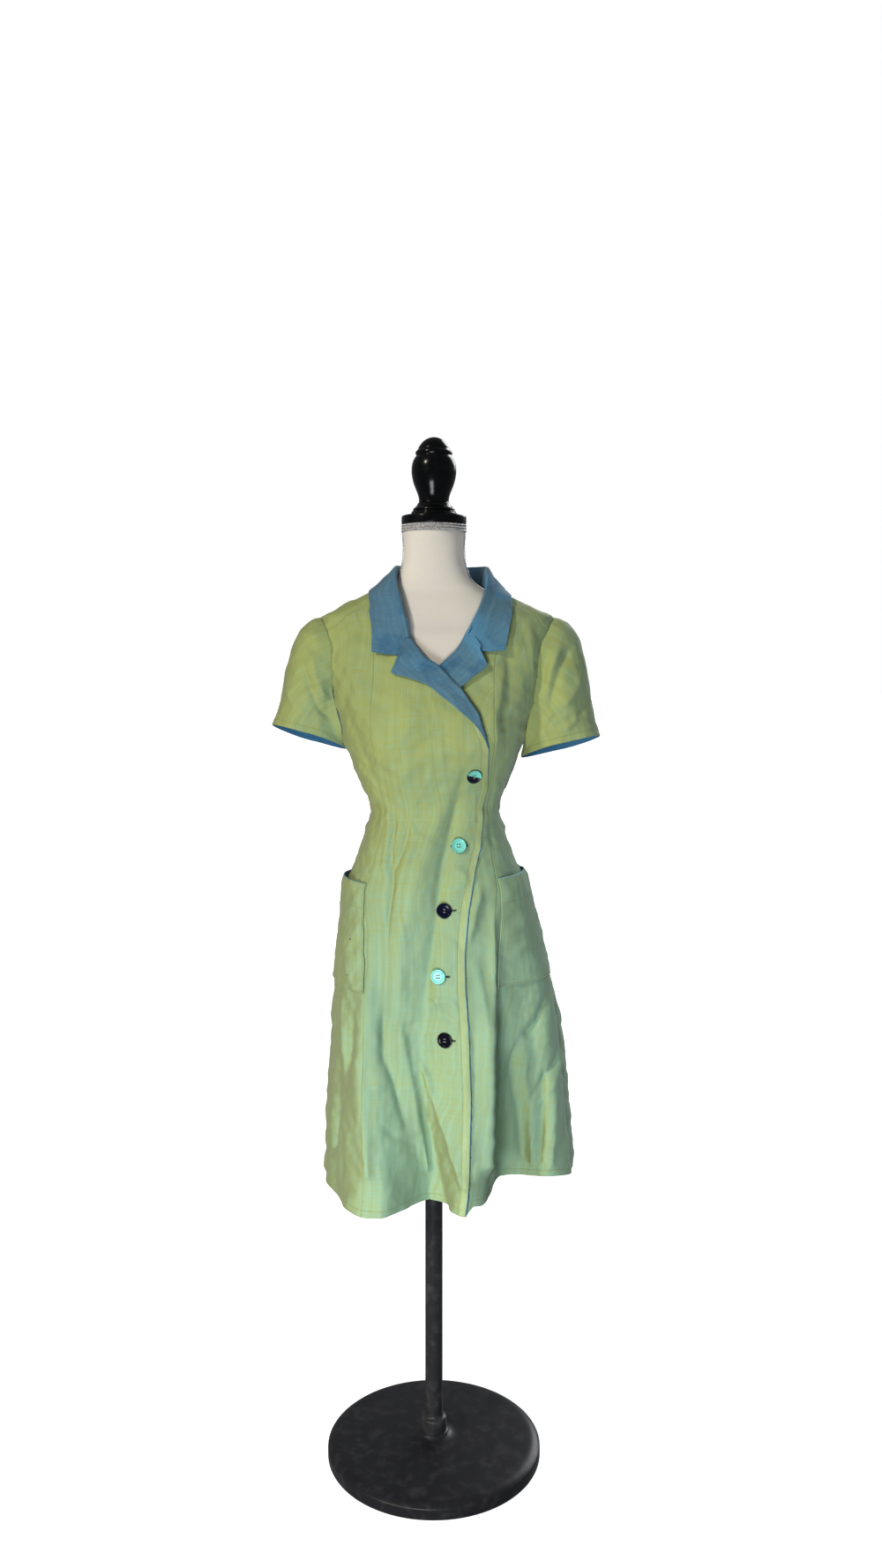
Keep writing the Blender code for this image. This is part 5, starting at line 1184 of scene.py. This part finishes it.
def from_seam(seam, other, gap):
    """Angle and height on a panel at a distance from one of its seams: gap over the row's length."""
    u = np.linspace(0, 1, 9)[None, :, None]
    rows = seam[:, None] * (1 - u) + other[:, None] * u
    size = np.linalg.norm(np.diff(shell(rows[..., 0], rows[..., 1]), axis=1), axis=-1).sum(1)
    share = np.clip(gap / size, 0, 1)[:, None]
    return seam * (1 - share) + other * share


def on_dress(path, lift=0.0):
    """Points and normals of a thread that lies on the cloth along a path of angle and height."""
    return dress(path[:, 0], path[:, 1], lift + 0.0001)


def hem_path(first, last, count):
    """The height of the hem's stitches from one angle to another."""
    return np.stack([np.linspace(first, last, count), np.full(count, STITCH_HEIGHT)], -1)


def from_edge(face, out, edge, gap, keep=slice(None)):
    """From each row of a grid the point whose distance from an edge point comes nearest to gap."""
    k = np.abs(np.linalg.norm(face - edge, axis=-1) - gap).argmin(1)
    rows = np.arange(len(face))[keep]
    return face[rows, k[rows]], out[rows, k[rows]]


green_thread = thread_finish("green_thread", (0.40, 0.47, 0.17))
blue_thread = thread_finish("blue_thread", (0.17, 0.34, 0.44))
low_front = from_seam(edge_right, princess_right, TOPSTITCH)
low_front = low_front[low_front[:, 1] < 1.160]
edge_seam = stitches("front_edge_stitching", [on_dress(low_front, over(*low_front.T))], green_thread)
over_hem, rest_of_hem = hem_path(-46.2, 9.2, 200), hem_path(-11.0, 313.8, 700)
lines = [on_dress(over_hem, over(*over_hem.T)), on_dress(rest_of_hem)]
hem_seam = stitches("hem_stitching", lines, green_thread)
cuffs = []
for cuff, out in (cuff_right, cuff_left):
    cuff, out = cuff[::-1], out[::-1]
    k = int(np.argmin(abs(gone_along(cuff, 0).mean(1) - CUFF_STITCH)))
    cuffs.append((np.r_[cuff[k], cuff[k][:1]], np.r_[out[k], out[k][:1]]))
cuff_seam = stitches("sleeve_stitching", cuffs, green_thread)
lines = [from_edge(face, out, face[:, -1:], EDGE_STITCH, slice(4, -8))
         for face, out in (revers_right, revers_left)]
lines.append(from_edge(fold[:, 20:], normal[:, 20:], fold[:, -1:], EDGE_STITCH, slice(3, -3)))
leaves, leaves_out = np.swapaxes(fold, 0, 1), np.swapaxes(normal, 0, 1)
for end, rows in ((0, slice(0, 40)), (-1, slice(-40, None))):
    border = leaves[:, end][:, None]
    lines.append(from_edge(leaves[:, rows], leaves_out[:, rows], border, EDGE_STITCH, slice(46, -2)))
revers_seam = stitches("collar_stitching", lines, blue_thread, radius=0.00028)
lines = []
for face, out in (mouth_right, mouth_left):
    lines.append(from_edge(face, out, face[:, :1], 0.0022))
    face, out = np.swapaxes(face, 0, 1), np.swapaxes(out, 0, 1)
    lines.append(from_edge(face, out, face[:, :1], 0.0024))
    lines.append(from_edge(face, out, face[:, -1:], POCKET_HEM))
pocket_seam = stitches("pocket_stitching", lines, green_thread)


# Buttons
# Five 23 mm four-hole buttons sewn through the over front: the second and fourth turquoise,
# the third and fifth navy-black, the first turquoise above and dark below.

# Buttons by angle and height, and buttonholes 2 to 5 by where they start and end beside the middle
BUTTONS = [(25.6, 1.0991), (16.2, 0.9879), (3.5, 0.8933), (-1.3, 0.7956), (-0.4, 0.7006)]
BUTTONHOLES = [(-0.012, 0.0156), (-0.0125, 0.0192), (-0.0125, 0.0186), (-0.012, 0.0176)]
BUTTON_RADIUS, HOLE, AROUND = 0.0117, 0.0021, 96
# Upper and lower face: share of the radius, height
DISH = np.array([(0, 0.0020), (0.40, 0.0020), (0.62, 0.0022), (0.74, 0.0026), (0.86, 0.0034), (0.95, 0.0032),
                 (0.98, 0.0028)])
UNDERSIDE = np.array([(1.0, 0.0021), (0.995, 0.0013), (0.96, 0.0006), (0.85, 0.0), (0.5, -0.0002),
                      (0.0, -0.0002)])


def button(number, angle, height, finish):
    """A disc on a polar grid: rim, dished middle and four wells of 0.9 mm where x, y = +-2.1 mm."""
    normal = outward(angle, height)
    lift = float(over(angle, height)) + 0.0010
    centre = dress(np.array([[angle]]), np.array([[height]]), lift)[0][0, 0]
    side = unit(np.cross((0, 0, 1.0), normal))
    top = np.cross(normal, side)
    r = np.r_[np.linspace(0.0, 0.0046, 24), np.linspace(0.005, BUTTON_RADIUS * 0.98, 22)] / BUTTON_RADIUS
    a = np.linspace(0, 2 * np.pi, AROUND, endpoint=False)
    x, y = BUTTON_RADIUS * r[:, None] * np.cos(a), BUTTON_RADIUS * r[:, None] * np.sin(a)
    face = smooth_line(r, DISH[:, 0], DISH[:, 1])[:, None] + 0 * x
    for dx in (-HOLE, HOLE):
        for dy in (-HOLE, HOLE):
            gap = np.hypot(x - dx, y - dy)
            face = face - 0.0016 * (1 - ramp(gap, 0.00065, 0.00105))
    x = np.concatenate([x, BUTTON_RADIUS * UNDERSIDE[:, :1] * np.cos(a)])
    y = np.concatenate([y, BUTTON_RADIUS * UNDERSIDE[:, :1] * np.sin(a)])
    z = np.concatenate([face, UNDERSIDE[:, 1:] + 0 * a])
    local = np.stack([x, y, z], -1)
    points = centre + local[..., :1] * side + local[..., 1:2] * top + local[..., 2:] * normal
    index = np.arange(x.size).reshape(x.shape)
    index[0], index[-1] = index[0, 0], index[-1, 0]
    faces = quads(shut(index))[:, ::-1]
    keep = faces[AROUND:-AROUND].tolist()
    keep += [list(dict.fromkeys(f)) for f in faces[:AROUND].tolist() + faces[-AROUND:].tolist()]
    used, number_of = np.unique(np.concatenate([np.array(f) for f in keep]), return_inverse=True)
    split = np.cumsum([len(f) for f in keep])[:-1]
    keep = [f.tolist() for f in np.split(number_of, split)]
    flat = local.reshape(-1, 3)[used]
    item = piece(f"button_disc_{number}", points.reshape(-1, 3)[used], keep, [finish], None,
                 {"face": flat[:, :2] / BUTTON_RADIUS})
    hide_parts(f"button_{number}")
    return item, centre, side, top, normal


def cast(name, light, dark, split=None):
    """Polished resin: colour by the face UV, a dotted ring near the rim, a dark lower part where split is
    given, painted shade toward the rim and in the four holes.
    """
    finish = Finish(name, light, 0.12, Specular_IOR_Level=0.14)
    x, y, _ = finish.split(finish.node("ShaderNodeUVMap", uv_map="face"))
    r = (x * x + y * y) ** 0.5
    cloud = finish.cloud(finish.spot(x * 3, y * 3), 1.0, 3.0)
    colour = finish.mix(cloud.step(0.35, 0.7) * 0.5, light, tuple(c * 0.72 for c in light))
    angle = finish.node("ShaderNodeMath", {0: y, 1: x}, operation="ARCTAN2")
    dots = finish.node("ShaderNodeMath", {0: angle * 22}, operation="SINE").step(0.1, 0.7)
    ring = 1 - abs(r - 0.70).step(0.02, 0.05)
    colour = finish.mix(ring * dots * 0.55, colour, dark)
    if split is not None:
        edge = (y + x * 0.25 + cloud * 0.25 - split).step(-0.03, 0.03)
        colour = finish.mix(edge, dark, colour)
    # Darker toward the rim: painted shade.
    rim_shade = r.step(0.90, 0.97)
    colour = finish.mix(rim_shade * 0.85, colour, dark)
    # The four holes are darkened: painted shade in them.
    for hx in (-HOLE, HOLE):
        for hy in (-HOLE, HOLE):
            dx, dy = x - hx / BUTTON_RADIUS, y - hy / BUTTON_RADIUS
            well = 1 - (dx * dx + dy * dy).step(0.0045, 0.0085)
            colour = finish.mix(well, colour, (0.010, 0.012, 0.016))
    finish.set("Base Color", colour)
    return finish


turquoise = (0.21, 0.70, 0.60)
navy = (0.003, 0.004, 0.018)
resins = [cast("resin_dark_lower_half", turquoise, (0.008, 0.012, 0.018), split=0.12),
          cast("resin_turquoise", turquoise, (0.03, 0.10, 0.11)),
          cast("resin_navy", navy, (0.004, 0.005, 0.012)),
          cast("resin_turquoise_pale", (0.27, 0.76, 0.68), (0.04, 0.14, 0.13)),
          cast("resin_black", (0.003, 0.004, 0.009), (0.002, 0.003, 0.006))]
slots = ["turquoise_button", "turquoise_button", "dark_button", "turquoise_button", "dark_button"]
sewing = thread_finish("button_thread", (0.42, 0.36, 0.37))
# The buttonhole slits are a thin dark strip on the cloth, mottled a little: painted shade of the open slit.
slit = Finish("buttonhole_painted_shade", (0.010, 0.018, 0.030), 0.9)
dust = slit.cloud(slit.place(), 900.0)
slit.set("Base Color", slit.mix(dust, (0.006, 0.012, 0.022), (0.016, 0.030, 0.050)))
bar_lines, hole_lines, slit_points, slit_faces = [], [], [], []
for number, ((angle, height), resin, slot) in enumerate(zip(BUTTONS, resins, slots), 1):
    disc, centre, side, top, out = button(number, angle, height, resin)
    t = np.linspace(0, 1, 9)[:, None]
    for shift in (-0.00035, 0.00035):
        for dy in (-HOLE, HOLE):
            arch = 0.0016 + 0.0012 * np.sin(np.pi * t) ** 0.6
            line = centre + side * HOLE * (2 * t - 1) + top * (dy + shift) + out * arch
            bar_lines.append((line, np.tile(out, (9, 1))))
    if number > 1:
        low, far = BUTTONHOLES[number - 2]
        s = np.linspace(low, far, 30)
        degree = np.linalg.norm(shell(angle + 0.5, height) - shell(angle - 0.5, height))
        turned = angle + s / degree
        on, off = dress(turned, 0 * turned + height, over(turned, 0 * turned + height))
        for lane in (-0.0013, 0.0013):
            hole_lines.append((on + top * lane + off * 0.0002, off))
        # A dark strip along each buttonhole: painted shade of its opening.
        half = 0.00115 * np.sqrt(np.clip(1 - (2 * (s - s.mean()) / (far - low)) ** 6, 0.02, 1))
        strip = np.stack([on + top * (w * half)[:, None] + off * (0.0006 - 0.0005 * abs(w))
                          for w in (-1, 0, 1)], 1)
        first = sum(len(p) for p in slit_points)
        slit_points.append(strip.reshape(-1, 3))
        slit_faces.append(quads(np.arange(90).reshape(30, 3) + first)[:, ::-1])
button_sewing = stitches("button_sewing", bar_lines, sewing, pitch=0.0042, length=0.0041, radius=0.00030)
hole_edge = thread_finish("buttonhole_thread", (0.12, 0.17, 0.08))
hole_sewing = stitches("buttonhole_sewing", hole_lines, hole_edge, pitch=0.0012, length=0.0011, radius=0.00042)
holes = piece("buttonhole_slits", np.concatenate(slit_points), np.concatenate(slit_faces), [slit])


# Floor, light and camera
# A wide pale floor that glows a little, so that it stays white, and three lamps: a soft one low
# in front on the left, a warm sun high in front on the left and a broad sun behind on the right.
# The camera stands level at the photograph's height with its picture moved down on the sensor.

PHOTO_HEIGHT, HORIZON, FOCAL = 1777, 730, 1478  # pixels of the photograph
SENSOR, CAMERA_X, LAMP_AIM = 36.0, 0.0114, Vector((0.02, -0.05, 0.60))
pale = Finish("pale_floor", (0.86, 0.86, 0.86), 0.9, Emission_Color=(1, 1, 1, 1), Emission_Strength=0.74)
grain = pale.cloud(pale.place(), 3.0)
pale.set("Base Color", pale.mix(grain, (0.85, 0.85, 0.85), (0.87, 0.87, 0.87)))
floor_mesh = bpy.data.meshes.new("floor")
floor_mesh.from_pydata([(-30, -30, 0), (30, -30, 0), (30, 30, 0), (-30, 30, 0)], [], [(0, 1, 2, 3)])
floor_mesh.materials.append(pale.material)
floor = bpy.data.objects.new("floor", floor_mesh)
bpy.context.scene.collection.objects.link(floor)
floor.visible_diffuse = floor.visible_glossy = False

world = bpy.data.worlds.new("studio")
bpy.context.scene.world = world
world.use_nodes = True
tree = world.node_tree
sky = tree.nodes["Background"]
sky.inputs["Color"].default_value = (0.93, 0.97, 1.0, 1)
sky.inputs["Strength"].default_value = 0.22
white = tree.nodes.new("ShaderNodeBackground")
white.inputs["Color"].default_value = (1, 1, 1, 1)
white.inputs["Strength"].default_value = 1.0
path = tree.nodes.new("ShaderNodeLightPath")
either = tree.nodes.new("ShaderNodeMixShader")
tree.links.new(path.outputs["Is Camera Ray"], either.inputs[0])
tree.links.new(sky.outputs[0], either.inputs[1])
tree.links.new(white.outputs[0], either.inputs[2])
tree.links.new(either.outputs[0], tree.nodes["World Output"].inputs["Surface"])
for name, kind, position, power, size, colour in (
        ("low", "AREA", (-0.38, -1.55, 0.46), 21.0, 0.55, (0.94, 0.98, 1.0)),
        ("key", "SUN", (-0.66, -0.60, 0.52), 1.78, 0.10, (1.0, 0.93, 0.76)),
        ("back", "SUN", (0.55, 0.75, 0.45), 1.7, 0.60, (0.97, 0.98, 1.0))):
    lamp = bpy.data.lights.new(name, kind)
    lamp.energy, lamp.color = power, colour
    if kind == "AREA":
        lamp.size, aim = size, Vector(position) - LAMP_AIM
    else:
        lamp.angle, aim = size, Vector(position)
    shine = bpy.data.objects.new(name, lamp)
    shine.location, shine.rotation_euler = position, aim.to_track_quat("Z", "Y").to_euler()
    bpy.context.scene.collection.objects.link(shine)

bpy.context.scene.view_settings.view_transform = "Standard"
lens = bpy.data.cameras.new("camera")
lens.sensor_fit, lens.sensor_height, lens.lens = "VERTICAL", SENSOR, FOCAL / PHOTO_HEIGHT * SENSOR
lens.shift_y = (HORIZON - PHOTO_HEIGHT / 2) / PHOTO_HEIGHT
lens.clip_start, lens.clip_end = 0.05, 60
camera = bpy.data.objects.new("camera", lens)
camera.location, camera.rotation_euler = (CAMERA_X, -EYE_BACK, EYE_HEIGHT), (np.pi / 2, 0, 0)
bpy.context.scene.collection.objects.link(camera)
bpy.context.scene.camera = camera
